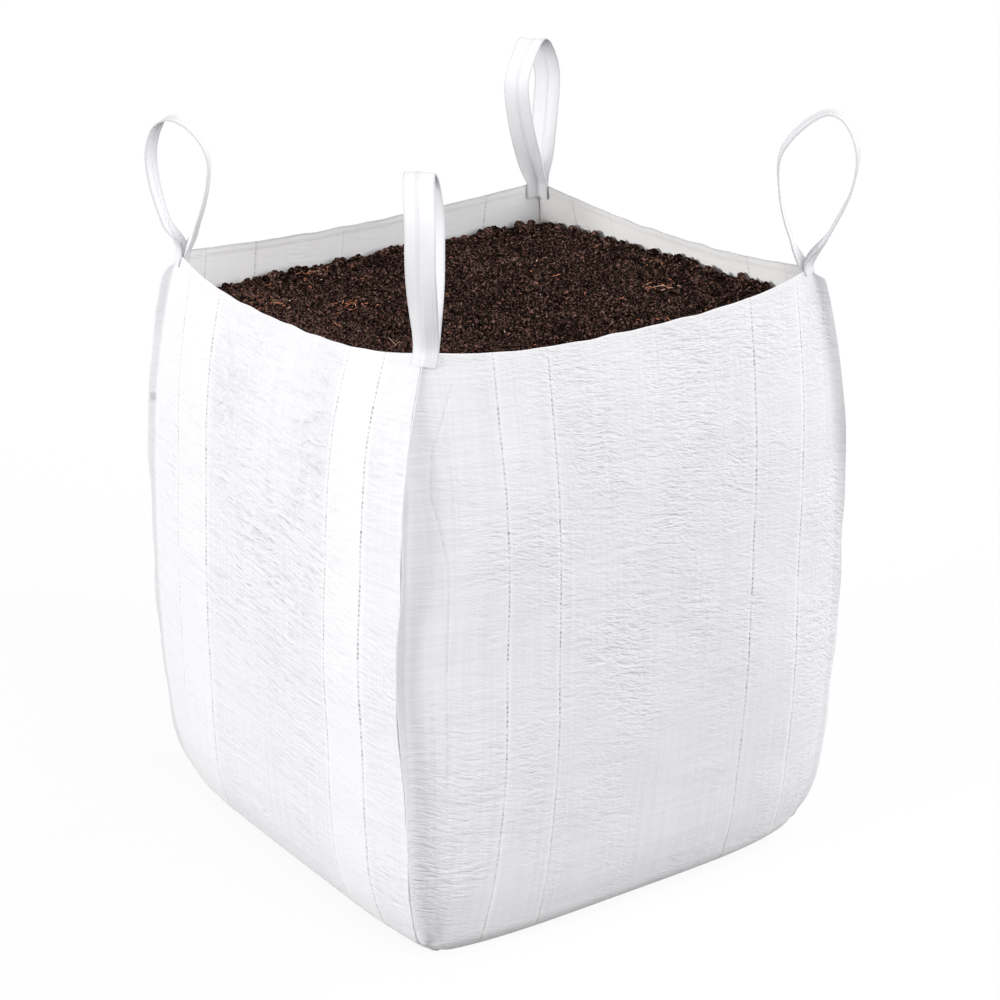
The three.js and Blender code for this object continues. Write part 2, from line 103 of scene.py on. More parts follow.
class BagColours(bpy.types.PropertyGroup):
    """Colours of the cloth, the webbing and the fill."""

    cloth: tint("Cloth", "Woven cloth", 0.845, 0.84, 0.868)
    band: tint("Band", "Reinforcing bands in the cloth", 0.87, 0.868, 0.882)
    # also painted shade in the hollows of the cloth's wrinkles and creases, and in the webbing's middle
    # groove
    cloth_shade: tint("Cloth shade", "Thinner tapes in the weave", 0.72, 0.715, 0.75)
    # painted light: paler than the cloth's outer face, standing in for light that comes through the thin
    # cloth
    lit_lining: tint("Lining", "Inner face of the cloth", 0.98, 0.977, 0.985)
    # also painted shade on the right wall's inner face; the same attribute also holds a grey at the foot of
    # each wall
    dust_and_shade: tint("Dust", "Earth dust rubbed into the cloth", 0.70, 0.685, 0.66)
    # also painted shade along the crease of the fold line on the front
    thread_and_shade: tint("Stitch lines", "Holes and thread along the bands", 0.20, 0.20, 0.22)
    # painted shade: laid on the seam allowances, beside the near seam, along the far rims and on the
    # webbing's edges
    edge_shade: tint("Raw edge", "Cut edges of the cloth and the shade in a seam", 0.42, 0.42, 0.45)
    webbing: tint("Webbing", "Lifting loops", 0.79, 0.788, 0.808)
    # partly painted shade and highlight: the dark soil lies in the hollows of the bump and the warm soil on
    # its tops
    soil_dark: tint("Dark soil", "Damp soil in the hollows", 0.0075, 0.0036, 0.0027)
    soil_warm: tint("Warm soil", "Drier crumbs", 0.305, 0.146, 0.126)
    soil_dull: tint("Dull soil", "Crumbs with more clay", 0.235, 0.158, 0.114)
    soil_speck: tint("Soil specks", "Fine pale grit in the soil", 0.20, 0.12, 0.095)
    stone: tint("Stones", "The few pale grains", 0.86, 0.70, 0.64)
    fibre: tint("Fibre", "Bark and root fibres", 0.72, 0.27, 0.14)
    fibre_dark: tint("Dark fibre", "Damp fibres", 0.085, 0.032, 0.018)
    fibre_pale: tint("Pale fibre", "Dry split fibres", 0.93, 0.70, 0.58)
    fibre_grain: tint("Fibre grain", "Dark grain along a fibre", 0.06, 0.028, 0.018)
    floor: tint("Floor", "Floor, as it lights the bag from below", 0.14, 0.14, 0.14)
    floor_seen: tint("Seen floor", "Floor, as it looks", 0.95, 0.95, 0.95)


def sizes():
    return bpy.context.scene.bag_sizes


def colours():
    return bpy.context.scene.bag_colours


# The bag's one surface: four walls that swell between corner seams

FRONT, RIGHT, BACK, LEFT = range(4)
NEAR = 0
REACH, SWELL, DRIFT, SPREAD = range(1, 5)
# Height, corner reach, wall swell, seam drift and foot spread, each as a share
OUTLINE = np.array([
    [0.000, 0.862, 0.32, -0.25, 1.00],
    [0.006, 0.879, 0.42, 0.05, 0.98],
    [0.020, 0.905, 0.58, 0.38, 0.88],
    [0.050, 0.929, 0.74, 0.66, 0.66],
    [0.100, 0.957, 0.86, 0.82, 0.38],
    [0.200, 0.983, 0.95, 0.94, 0.10],
    [0.340, 0.998, 1.00, 1.05, 0.00],
    [0.480, 1.000, 1.00, 1.28, 0.00],
    [0.630, 0.994, 0.96, 1.12, 0.00],
    [0.770, 0.977, 0.88, 0.98, 0.00],
    [0.870, 0.951, 0.79, 0.80, 0.00],
    [0.935, 0.928, 0.70, 0.50, 0.00],
    [1.000, 0.900, 0.62, 0.12, 0.00],
])
SLOPES = np.gradient(OUTLINE, OUTLINE[:, 0], axis=0)
# Way of each corner across and deep, and its lift at the rim
CORNERS = [(-1, -1, 0.0), (1, -1, 0.014), (1, 1, 0.009), (-1, 1, -0.008)]
# How far the near seam drifts to one side and its foot comes forward, and the ways along X and Y
SEAM_DRIFT, DRIFT_WAY = 0.022, (-0.819, 0.574)
NEAR_FOOT, FOOT_WAY = 0.013, (-0.574, -0.819)
FOOT_SPREAD = 0.017
RIM_SAG = 0.033
RIM_WAVE = 0.0007
# Outward direction, swell, foot spread and rim sag of each wall
WALLS = [
    ((0, -1, 0), 1.15, 0.65, 0.86),
    ((1, 0, 0), 1.0, 0.53, 0.94),
    ((0, 1, 0), 1.0, 0.53, 0.62),
    ((-1, 0, 0), 0.72, 0.05, 1.12),
]
# Shift of each wall's bands at the foot, half-way up and at the rim, as shares
BAND_SHIFTS = [(0.5, 1.0, 1.4), (0, 0, 0), (0, 0, 1.0), (-0.3, 0.6, -0.4)]
# Where a wall's four band edges stray from their place at the foot, half-way up and at the rim
EDGE_STRAYS = {
    FRONT: [
        (-0.009, 0.013, -0.008), (-0.013, -0.003, -0.019),
        (-0.010, -0.007, 0.004), (0.009, -0.005, 0.010)],
    LEFT: [
        (-0.036, -0.016, -0.010), (-0.018, -0.007, -0.005),
        (0.005, 0.016, 0.022), (-0.003, 0.006, 0.005)],
}
# A share of a wall's width or height, over which its slope is taken
SLOPE_STEP = 0.004
SEAM_SIDE = 0.96
UP = np.array([0.0, 0.0, 1.0])


def ease(x):
    x = np.clip(x, 0.0, 1.0)
    return x * x * (3.0 - 2.0 * x)


def share(level, column):
    """A smooth curve through one column of the outline."""
    level = np.asarray(level, float)
    knots = OUTLINE[:, 0]
    i = np.clip(np.searchsorted(knots, level, side="right") - 1, 0, len(knots) - 2)
    width = knots[i + 1] - knots[i]
    t = (level - knots[i]) / width
    low, high = OUTLINE[i, column], OUTLINE[i + 1, column]
    rise_low, rise_high = SLOPES[i, column] * width, SLOPES[i + 1, column] * width
    bend = (1 + 2 * t) * (1 - t) ** 2 * low + t * t * (3 - 2 * t) * high
    return bend + t * (1 - t) ** 2 * rise_low + t * t * (t - 1) * rise_high


def bowed(level, low, middle, high):
    """A bow through its values at the foot, half-way up and at the rim."""
    bow = low * (1 - 2 * level) * (1 - level) + middle * 4 * level * (1 - level)
    return bow + high * level * (2 * level - 1)


def centre_shift():
    """From the bag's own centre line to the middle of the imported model."""
    s = sizes()
    fullest = s.corner_reach + s.wall_bulge
    return np.array([
        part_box("side_panel_right")[1][0] - fullest,
        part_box("body_panel")[1][1] - fullest,
        0.0,
    ])


def corner_point(index, level):
    s = sizes()
    level = np.asarray(level, float)
    x, y, lift = CORNERS[index % 4]
    reach = s.corner_reach * share(level, REACH)
    point = np.stack([x * reach, y * reach, (s.rim_height + lift) * level], axis=-1)
    if index % 4 == NEAR:
        drift = SEAM_DRIFT * share(level, DRIFT)
        spread = NEAR_FOOT * share(level, SPREAD)
        for axis in (0, 1):
            point[..., axis] += DRIFT_WAY[axis] * drift + FOOT_WAY[axis] * spread
    return point


def wall_point(wall, side, level):
    """A point on the outer face of a wall: side runs from -1 at one corner to 1 at the next."""
    s = sizes()
    side, level = np.broadcast_arrays(np.asarray(side, float), np.asarray(level, float))
    part = ((side + 1) / 2)[..., None]
    point = corner_point(wall, level) * (1 - part) + corner_point(wall + 1, level) * part
    out, swell, foot, sag = WALLS[wall]
    reach = s.wall_bulge * swell * share(level, SWELL) + FOOT_SPREAD * foot * share(level, SPREAD)
    point = point + np.array(out) * (reach * (1 - side ** 4))[..., None]
    point[..., 2] -= RIM_SAG * sag * (1 - np.abs(side) ** 2.5) * level ** 6
    waves = np.sin(34.0 * side + 1.7 * wall) + np.sin(21.0 * side + 4.0 + wall)
    point[..., 2] += RIM_WAVE * waves * (1 - side ** 2) ** 2 * level ** 40
    return point


def wall_normal(wall, side, level):
    side, level = np.broadcast_arrays(np.asarray(side, float), np.asarray(level, float))
    across = wall_point(wall, side + SLOPE_STEP, level) - wall_point(wall, side - SLOPE_STEP, level)
    low = np.clip(level - SLOPE_STEP, 0, 1)
    high = np.clip(level + SLOPE_STEP, 0, 1)
    along = wall_point(wall, side, high) - wall_point(wall, side, low)
    normal = np.cross(across, along)
    return normal / np.linalg.norm(normal, axis=-1, keepdims=True)


def corner_frame(index, level):
    """A corner's point, its outward way and the way along the seam's two sides."""
    before = wall_normal((index + 3) % 4, SEAM_SIDE, level)
    after = wall_normal(index % 4, -SEAM_SIDE, level)
    outward = before + after
    outward[..., 2] = 0
    outward /= np.linalg.norm(outward, axis=-1, keepdims=True)
    return corner_point(index, level), outward, np.cross(UP, outward)


def cloth_across(wall, side, level):
    """Distance from the middle of the cloth: the bands keep theirs where the corners draw in."""
    s = sizes()
    shift = s.band_shift * bowed(level, *BAND_SHIFTS[wall])
    inside = np.clip(1 - np.abs(side) ** 16, 0, 1)
    flat = share(level, REACH) * (side * s.corner_reach - shift * inside)
    end = s.corner_reach * SEAM_SIDE
    knots = [-end, -s.band_outer, -s.band_inner, s.band_inner, s.band_outer, end]
    stray = 0.0
    for i, strays in enumerate(EDGE_STRAYS.get(wall, [])):
        near = np.interp(flat, knots, np.eye(len(knots))[i + 1])
        stray = stray + near * bowed(level, *strays)
    return flat - stray


# Making and finishing meshes

def deselect():
    if bpy.context.object and bpy.context.object.mode != "OBJECT":
        bpy.ops.object.mode_set(mode="OBJECT")
    bpy.ops.object.select_all(action="DESELECT")


def pick(piece):
    deselect()
    piece.select_set(True)
    bpy.context.view_layer.objects.active = piece


def laid_grid(name, points, flat):
    """A grid of cloth laid over rows of points, with its place on the flat cut as its UV map."""
    rows, columns = points.shape[:2]
    deselect()
    bpy.ops.mesh.primitive_grid_add(x_subdivisions=columns - 1, y_subdivisions=rows - 1, size=1.0)
    piece = bpy.context.object
    piece.name = name
    piece.data.name = name
    mesh = piece.data
    mesh.vertices.foreach_set("co", points.reshape(-1).astype(np.float32))
    corner = np.zeros(len(mesh.loops), np.int32)
    mesh.loops.foreach_get("vertex_index", corner)
    uv = mesh.uv_layers[0]
    uv.name = "flat_cut"
    uv.data.foreach_set("uv", flat.reshape(-1, 2)[corner].reshape(-1).astype(np.float32))
    mesh.update()
    return piece


def point_values(piece, name, values):
    """A value for each point of a mesh, which its material reads by name."""
    layer = piece.data.attributes.new(name, "FLOAT", "POINT")
    layer.data.foreach_set("value", np.asarray(values, np.float32).reshape(-1))


def thicken(piece, thickness, weights=None):
    """Gives a sheet its thickness inwards, by weight where weights are given."""
    pick(piece)
    solid = piece.modifiers.new("thickness", "SOLIDIFY")
    solid.thickness = thickness
    solid.offset = -1.0
    solid.use_even_offset = True
    solid.use_rim = True
    if weights is not None:
        group = piece.vertex_groups.new(name="layers")
        flat = np.asarray(weights).reshape(-1)
        for value in np.unique(flat):
            group.add([int(i) for i in np.nonzero(flat == value)[0]], float(value), "REPLACE")
        solid.vertex_group = group.name
    bpy.ops.object.modifier_apply(modifier=solid.name)


def smooth(piece, degrees):
    pick(piece)
    bpy.ops.object.shade_smooth_by_angle(angle=math.radians(degrees))


def mesh_piece(name, verts, faces):
    """A mesh of many small copies, from their points and triangles."""
    mesh = bpy.data.meshes.new(name)
    mesh.vertices.add(len(verts))
    mesh.vertices.foreach_set("co", verts.reshape(-1).astype(np.float32))
    mesh.loops.add(faces.size)
    mesh.loops.foreach_set("vertex_index", faces.reshape(-1).astype(np.int32))
    mesh.polygons.add(len(faces))
    mesh.polygons.foreach_set("loop_start", np.arange(0, faces.size, 3, dtype=np.int32))
    mesh.update(calc_edges=True)
    mesh.polygons.foreach_set("use_smooth", np.ones(len(faces), bool))
    piece = bpy.data.objects.new(name, mesh)
    bpy.context.scene.collection.objects.link(piece)
    return piece


# Shader nodes

class Nodes:
    """Adds nodes to a tree and links what is given to their inputs."""

    def __init__(self, tree):
        self.tree = tree

    def put(self, socket, value):
        if isinstance(value, bpy.types.NodeSocket):
            self.tree.links.new(value, socket)
        else:
            socket.default_value = value

    def add(self, kind, out=0, settings=None, **inputs):
        """A new node's output: its inputs go by name, or by number as in0, in1 and in2."""
        node = self.tree.nodes.new(kind)
        for key, value in (settings or {}).items():
            setattr(node, key, value)
        for key, value in inputs.items():
            name = int(key[2:]) if key.startswith("in") else key.replace("_", " ")
            self.put(node.inputs[name], value)
        return node.outputs[out]

    def math(self, how, a, b=0.0, c=0.0):
        return self.add("ShaderNodeMath", settings={"operation": how}, in0=a, in1=b, in2=c)

    def plus(self, a, b):
        return self.math("ADD", a, b)

    def minus(self, a, b):
        return self.math("SUBTRACT", a, b)

    def times(self, a, b):
        return self.math("MULTIPLY", a, b)

    def times_plus(self, a, b, c):
        return self.math("MULTIPLY_ADD", a, b, c)

    def larger(self, a, b):
        return self.math("MAXIMUM", a, b)

    def unsigned(self, a):
        return self.math("ABSOLUTE", a)

    def range(self, value, low, high, to_low=0.0, to_high=1.0):
        return self.add(
            "ShaderNodeMapRange", settings={"interpolation_type": "SMOOTHSTEP"},
            Value=value, From_Min=low, From_Max=high, To_Min=to_low, To_Max=to_high)

    def step(self, value, at, before, after):
        """One value before a place and another past it."""
        return self.range(value, at - 0.1, at + 0.1, before, after)

    def noise(self, vector, scale, detail=2.0, roughness=0.5):
        return self.add("ShaderNodeTexNoise", Vector=vector, Scale=scale, Detail=detail, Roughness=roughness)

    def drawn_noise(self, vector, scale, detail=2.0, roughness=0.5, shift=(0.0, 0.0, 0.0)):
        """Noise that is drawn out, by a scale for each way."""
        drawn = self.add("ShaderNodeMapping", Vector=vector, Scale=scale, Location=shift)
        return self.noise(drawn, 1.0, detail, roughness)

    def ridge(self, value, steepness):
        """One along the middle of a noise's range, and less to either side."""
        return self.minus(1.0, self.unsigned(self.times_plus(value, steepness, -steepness / 2)))

    def mix(self, factor, a, b):
        node = self.tree.nodes.new("ShaderNodeMix")
        node.data_type = "RGBA"
        for socket, value in ((0, factor), (6, a), (7, b)):
            self.put(node.inputs[socket], value)
        return node.outputs[2]

    def attribute(self, name):
        return self.add("ShaderNodeAttribute", out=2, settings={"attribute_name": name})

    def object_place(self):
        return self.add("ShaderNodeTexCoord", out=3)

    def flat_place(self):
        """The place on the flat cut, across and along."""
        split = self.tree.nodes.new("ShaderNodeSeparateXYZ")
        self.put(split.inputs[0], self.add("ShaderNodeUVMap", settings={"uv_map": "flat_cut"}))
        return split.outputs[0], split.outputs[1]

    def group(self, tree, **inputs):
        node = self.tree.nodes.new("ShaderNodeGroup")
        node.node_tree = tree
        for key, value in inputs.items():
            self.put(node.inputs[key], value)
        return node.outputs

    def bump(self, height, distance):
        return self.add("ShaderNodeBump", Height=height, Distance=distance, Strength=1.0)


def new_group(name, inputs, outputs):
    """An empty group: an input with no default takes a place, and the others take a number."""
    tree = bpy.data.node_groups.new(name, "ShaderNodeTree")
    for label, default in inputs.items():
        kind = "NodeSocketVector" if default is None else "NodeSocketFloat"
        socket = tree.interface.new_socket(name=label, in_out="INPUT", socket_type=kind)
        if default is not None:
            socket.default_value = default
    for label in outputs:
        tree.interface.new_socket(name=label, in_out="OUTPUT", socket_type="NodeSocketFloat")
    start = tree.nodes.new("NodeGroupInput")
    end = tree.nodes.new("NodeGroupOutput")
    return tree, Nodes(tree), start.outputs, end.inputs


def new_material(name, roughness, shine):
    material = bpy.data.materials.new(name)
    material.use_nodes = True
    shader = material.node_tree.nodes["Principled BSDF"]
    shader.inputs["Roughness"].default_value = roughness
    shader.inputs["Specular IOR Level"].default_value = shine
    return material, Nodes(material.node_tree), shader.inputs


def once(name, make):
    """A shader group, made the first time that a material asks for it."""
    return bpy.data.node_groups.get(name) or make(name)


MILLIMETRE = 0.001
CLOTH_TAPE, WEBBING_TAPE = 0.0026, 0.0016
WEBBING_RIB, WEBBING_GROOVE = 0.0046, 0.0025
# Widths of the stitch lines: bands, bands of the left wall, hem, fold line and near seam
BAND_STITCH, LEFT_BAND_STITCH, HEM_STITCH, FOLD_STITCH, SEAM_STITCH = 0.0021, 0.0029, 0.0009, 0.0015, 0.0035
STITCH_PITCH, SEAM_PITCH = 0.0080, 0.021
HEM_STITCH_UP = 0.003
BAND_EDGE = 0.004


def weave_group(name):
    """Flat tapes over and under each other, with streaks where some tapes are thinner."""
    tree, n, given, out = new_group(
        name, {"Across": 0.0, "Along": 0.0, "Tape": CLOTH_TAPE}, ["Height", "Streaks"])
    turn = n.math("DIVIDE", math.pi, given["Tape"])
    over = n.math("SINE", n.times(given["Across"], turn))
    under = n.math("SINE", n.times(given["Along"], turn))
    place = n.add("ShaderNodeCombineXYZ", X=given["Across"], Y=given["Along"])
    weft = n.drawn_noise(place, (4.0, 210.0, 1.0), 3.0, 0.6)
    warp = n.drawn_noise(place, (190.0, 3.0, 1.0), 3.0, 0.6, (7.0, 3.0, 0.0))
    streaks = n.plus(n.times(weft, 0.55), n.times(warp, 0.45))
    n.put(out["Height"], n.times_plus(n.times(over, under), 0.5, 0.5))
    n.put(out["Streaks"], n.range(streaks, 0.36, 0.66))
    return tree


def stitch_group(name):
    """A run of stitches beside a line: the thread's dashes and the groove that it pulls."""
    tree, n, given, out = new_group(
        name,
        {"Distance": 0.0, "Along": 0.0, "Pitch": STITCH_PITCH, "Width": 0.0017, "Joined": 0.35},
        ["Thread", "Groove", "Highlight"])
    width, joined = given["Width"], given["Joined"]
    away = n.unsigned(given["Distance"])
    line = n.range(away, n.times(width, 0.45), width, 1.0, 0.0)
    turn = n.math("DIVIDE", 2 * math.pi, given["Pitch"])
    wave = n.math("SINE", n.times(given["Along"], turn))
    place = n.add("ShaderNodeCombineXYZ", X=given["Distance"], Y=given["Along"])
    uneven = n.noise(place, 16.0, 3.0, 0.6)
    knots = n.noise(place, 70.0, 2.0, 0.6)
    dash = n.range(n.plus(wave, n.times(uneven, 1.8)), 0.75, 1.5)
    faint = n.times(n.range(uneven, 0.36, 0.64, 0.4, 1.0), n.range(knots, 0.38, 0.62, 0.4, 1.15))
    thread_and_shade = n.times(line, n.times_plus(dash, n.minus(1.0, joined), joined))
    n.put(out["Thread"], n.times(thread_and_shade, faint))
    n.put(out["Groove"], n.range(away, 0.0, n.times(width, 2.6), 1.0, 0.0))
    # painted highlight: a paler strip either side of a stitch line
    n.put(out["Highlight"], n.range(away, n.times(width, 2.0), n.times(width, 5.0), 1.0, 0.0))
    return tree


def pucker_group(name):
    """Short level wrinkles in patches, in millimetres, as in cloth that is pulled sideways."""
    tree, n, given, out = new_group(
        name, {"Across": 0.0, "Along": 0.0, "Wall": 0.0}, ["Height", "Patches", "Crumple"])
    wall = given["Wall"]
    shifted = n.times_plus(wall, 3.7, given["Across"])
    place = n.add("ShaderNodeCombineXYZ", X=shifted, Y=given["Along"], Z=wall)
    sway = n.drawn_noise(place, (9.0, 5.0, 1.0), 1.0)
    level = n.times_plus(sway, 0.022, given["Along"])
    level = n.times(level, n.step(wall, LEFT - 0.5, 1.0, 0.72))
    run = n.times(shifted, n.step(wall, FRONT + 0.5, 1.6, 1.0))
    bent = n.add("ShaderNodeCombineXYZ", X=run, Y=level, Z=wall)
    wide = n.ridge(n.drawn_noise(bent, (11.0, 62.0, 1.0), 2.0, 0.55), 4.0)
    narrow = n.ridge(n.drawn_noise(bent, (30.0, 125.0, 1.0), 2.0, 0.55, (3.0, 9.0, 0.0)), 4.0)
    patches = n.drawn_noise(place, (9.0, 5.0, 1.0), 2.0, 0.5, (2.0, 5.0, 1.0))
    wander = n.drawn_noise(place, (7.0, 11.0, 1.0), 2.0, 0.6, (5.0, 1.0, 2.0))
    fold = n.math("PINGPONG", n.times_plus(wander, 0.16, n.plus(shifted, 9.0)), 0.026)
    strokes = n.add("ShaderNodeCombineXYZ", X=shifted, Y=n.times_plus(fold, 0.9, level), Z=wall)
    stroke = n.drawn_noise(strokes, (26.0, 88.0, 1.0), 2.0, 0.5, (1.0, 4.0, 0.0))
    n.put(out["Height"], n.times_plus(narrow, 0.7, n.times(wide, 0.85)))
    n.put(out["Patches"], n.range(patches, 0.38, 0.66))
    n.put(out["Crumple"], n.ridge(stroke, 5.0))
    return tree


def cloth_sewing(n, across, along):
    """Stitch lines of the bands, the hem, a fold and the near seam, with a painted highlight beside the band
    stitches and their grooves.
    """
    s = sizes()
    stitches = once("stitch_run", stitch_group)
    sewn = n.attribute("sewn")
    reach = n.unsigned(across)
    joined = n.range(along, 0.5, 0.9, 0.35, 0.7)
    width = n.step(n.attribute("wall"), LEFT - 0.5, BAND_STITCH, LEFT_BAND_STITCH)
    inner, outer = (
        n.group(stitches, Distance=n.minus(reach, edge), Along=along, Joined=joined, Width=width)
        for edge in (s.band_inner, s.band_outer))
    hem_line = n.minus(along, s.hem_depth - HEM_STITCH_UP)
    hem = n.group(stitches, Distance=hem_line, Along=across, Width=HEM_STITCH)
    fold = n.group(stitches, Distance=n.attribute("fold"), Along=along, Joined=0.5, Width=FOLD_STITCH)
    seam = n.group(
        stitches, Distance=n.attribute("seam"), Along=along, Pitch=SEAM_PITCH, Joined=0.15, Width=SEAM_STITCH)
    threads_and_crease_shade = n.times(n.larger(inner["Thread"], outer["Thread"]), sewn)
    threads_and_crease_shade = n.times(threads_and_crease_shade, n.range(along, 0.55, 0.85, 1.0, 0.6))
    # painted shade: the fold line is drawn in the stitch colour as the shade in its crease
    creases = n.larger(n.times(fold["Thread"], 0.28), n.times(seam["Thread"], 0.16))
    faint = n.larger(n.times(hem["Thread"], 0.14), n.times(creases, sewn))
    halo_highlight = n.times(n.larger(inner["Highlight"], outer["Highlight"]), 0.6)
    grooves = n.plus(inner["Groove"], outer["Groove"])
    for run, depth in ((hem, 0.3), (fold, 0.8), (seam, 1.2)):
        grooves = n.times_plus(run["Groove"], depth, grooves)
    return n.larger(threads_and_crease_shade, faint), halo_highlight, grooves


def cloth_band(n, across):
    """Where the cloth is a reinforcing band, or as pale as one."""
    s = sizes()
    middle = (s.band_inner + s.band_outer) / 2
    half = (s.band_outer - s.band_inner) / 2
    off = n.unsigned(n.minus(n.unsigned(across), middle))
    band = n.range(off, half - BAND_EDGE, half, 1.0, 0.0)
    return n.larger(n.times(band, n.attribute("bands")), n.attribute("pale"))


def cloth_creases(n, across, along, plain):
    """Level wrinkles and short creases, in millimetres, and the shade in their hollows."""
    slanted = n.plus(along, n.attribute("slant"))
    pucker = n.group(
        once("cloth_puckers", pucker_group), Across=across, Along=slanted, Wall=n.attribute("wall"))
    outside = n.times_plus(n.attribute("inside"), -0.7, 1.0)
    loose = n.times(n.times_plus(pucker["Patches"], 0.55, 0.28), plain)
    loose = n.larger(n.plus(loose, n.attribute("wrinkles")), 0.04)
    loose = n.times(loose, outside)
    creased = n.times(n.times(n.attribute("crumple"), plain), outside)
    hollow = n.times(n.range(pucker["Height"], 0.55, 1.15, 1.0, 0.0), loose)
    hollow = n.times_plus(n.range(pucker["Crumple"], 0.1, 0.8, 1.0, 0.0), creased, hollow)
    return n.times(pucker["Height"], loose), n.times(pucker["Crumple"], creased), hollow


def cloth_colour(n, band, streaks, hollow, halo_highlight, threads_and_crease_shade):
    """The cloth's colours, each laid over the ones before it."""
    c = colours()
    inside = n.attribute("inside")
    # painted shade: the inner face of the right wall is laid over with the dust colour to darken it
    right_lining_shade = n.times(n.math("COMPARE", n.attribute("wall"), float(RIGHT), 0.4), inside)
    colour = n.mix(band, c.cloth, c.band)
    for amount, laid_over in (
        (n.times(streaks, 0.55), c.cloth_shade),
        # painted shade in the hollows of the wrinkles and creases
        (n.math("MINIMUM", n.times(hollow, 0.5), 0.9), c.cloth_shade),
        # painted highlight beside the band stitches
        (halo_highlight, c.band),
        # painted light on the inner face of the cloth
        (inside, c.lit_lining),
        (n.times_plus(right_lining_shade, 0.5, n.attribute("dust_and_shade")), c.dust_and_shade),
        # painted shade on the seam allowances, beside the near seam and along the far rims
        (n.attribute("edge"), c.edge_shade),
        (n.times(threads_and_crease_shade, 0.85), c.thread_and_shade),
    ):
        colour = n.mix(amount, colour, laid_over)
    return colour


def cloth_material():
    """White woven cloth: tapes, wrinkles, stitched bands, a stitched hem and a little dust, with painted
    shade in its hollows, on its seam allowances and along a fold, a painted highlight beside the band
    stitches and a paler inner face as painted light.
    """
    material, n, shader = new_material("white_weave", 0.55, 0.3)
    across, along = n.flat_place()
    weave = n.group(once("tape_weave", weave_group), Across=across, Along=along)
    threads_and_crease_shade, halo_highlight, grooves = cloth_sewing(n, across, along)
    band = cloth_band(n, across)
    plain = n.times_plus(band, -0.8, 1.0)
    wrinkle, crumple, hollow = cloth_creases(n, across, along, plain)
    streaks = n.times(weave["Streaks"], plain)
    height = n.times(weave["Height"], 0.09)
    for part, depth in ((weave["Streaks"], 0.06), (wrinkle, 1.5), (crumple, 1.2), (grooves, -0.45)):
        height = n.times_plus(part, depth, height)
    n.put(shader["Base Color"], cloth_colour(n, band, streaks, hollow, halo_highlight, threads_and_crease_shade))
    n.put(shader["Normal"], n.bump(height, MILLIMETRE))
    n.put(shader["Roughness"], n.times_plus(weave["Streaks"], 0.12, 0.5))
    return material


def webbing_material():
    """White webbing: fine ribs, with painted shade on its edges and in a groove down the middle."""
    s, c = sizes(), colours()
    material, n, shader = new_material("white_webbing", 0.62, 0.3)
    across, along = n.flat_place()
    weave = n.group(once("tape_weave", weave_group), Across=across, Along=along, Tape=WEBBING_TAPE)
    ribs = n.math("SINE", n.times(across, 2 * math.pi / WEBBING_RIB))
    # painted shade: the middle groove and the edges of the webbing are drawn darker
    groove = n.range(n.unsigned(n.plus(across, WEBBING_GROOVE)), 0.0008, 0.0042, 1.0, 0.0)
    half = s.web_width / 2
    edge = n.range(n.unsigned(across), half - 0.003, half - 0.001, 0.0, 0.35)
    shade = n.times_plus(groove, 0.75, n.times(weave["Streaks"], 0.18))
    colour = n.mix(shade, c.webbing, c.cloth_shade)
    n.put(shader["Base Color"], n.mix(edge, colour, c.edge_shade))
    n.put(shader["Normal"], n.bump(n.times_plus(groove, -0.5, n.times(ribs, 0.02)), MILLIMETRE))
    n.put(shader["Roughness"], n.times_plus(weave["Streaks"], 0.1, 0.58))
    return material


def earth_group(name):
    """Damp crumbly earth: dark hollows that are partly painted shade, warm dry crumbs that are paler on the
    tops of the bump as painted highlight, a grain of fine specks, and painted light towards the left wall.
    """
    tree, n, given, out = new_group(
        name, {"Place": None, "Tone": 0.5}, ["Dryness", "Hue", "Specks", "Height"])
    place = given["Place"]
    hue = n.noise(place, 120.0, 2.0, 0.6)
    broad = n.noise(place, 22.0, 3.0, 0.6)
    fine = n.noise(place, 255.0, 1.3, 0.5)
    grit = n.noise(place, 640.0, 2.0, 0.6)
    # painted shade and highlight: the fine noise that raises the bump also darkens its hollows and pales its
    # tops
    dryness_and_light = n.times(broad, 0.35)
    for part, amount in ((fine, 1.6), (grit, 0.25), (given["Tone"], 0.35)):
        dryness_and_light = n.times_plus(part, amount, dryness_and_light)
    # painted light: paler towards the left wall, where that wall's shadow falls on the soil
    from_left = n.add("ShaderNodeSeparateXYZ", in0=place)
    dryness_and_light = n.plus(dryness_and_light, n.range(from_left, -0.40, -0.02, 0.09, 0.0))
    n.put(out["Dryness"], n.math("POWER", n.range(dryness_and_light, 1.03, 1.66), 1.9))
    n.put(out["Hue"], n.range(hue, 0.36, 0.64))
    n.put(out["Specks"], n.range(grit, 0.66, 0.76))
    n.put(out["Height"], n.times_plus(fine, 7.0, n.times(grit, 1.8)))
    return tree


def soil_material():
    """Damp soil, with dry crumbs, pale grit and a few small stones, with painted shade and light in its tone.
    """
    c = colours()
    material, n, shader = new_material("damp_soil", 0.9, 0.02)
    tone = n.attribute("tone")
    earth = n.group(once("damp_earth", earth_group), Place=n.object_place(), Tone=tone)
    crumb = n.mix(earth["Hue"], c.soil_warm, c.soil_dull)
    colour = n.mix(earth["Dryness"], c.soil_dark, crumb)
    colour = n.mix(n.times(earth["Specks"], 0.35), colour, c.soil_speck)
    n.put(shader["Base Color"], n.mix(n.range(tone, 0.985, 0.99), colour, c.stone))
    n.put(shader["Roughness"], n.times_plus(earth["Dryness"], 0.25, 0.68))
    n.put(shader["Normal"], n.bump(earth["Height"], MILLIMETRE))
    return material


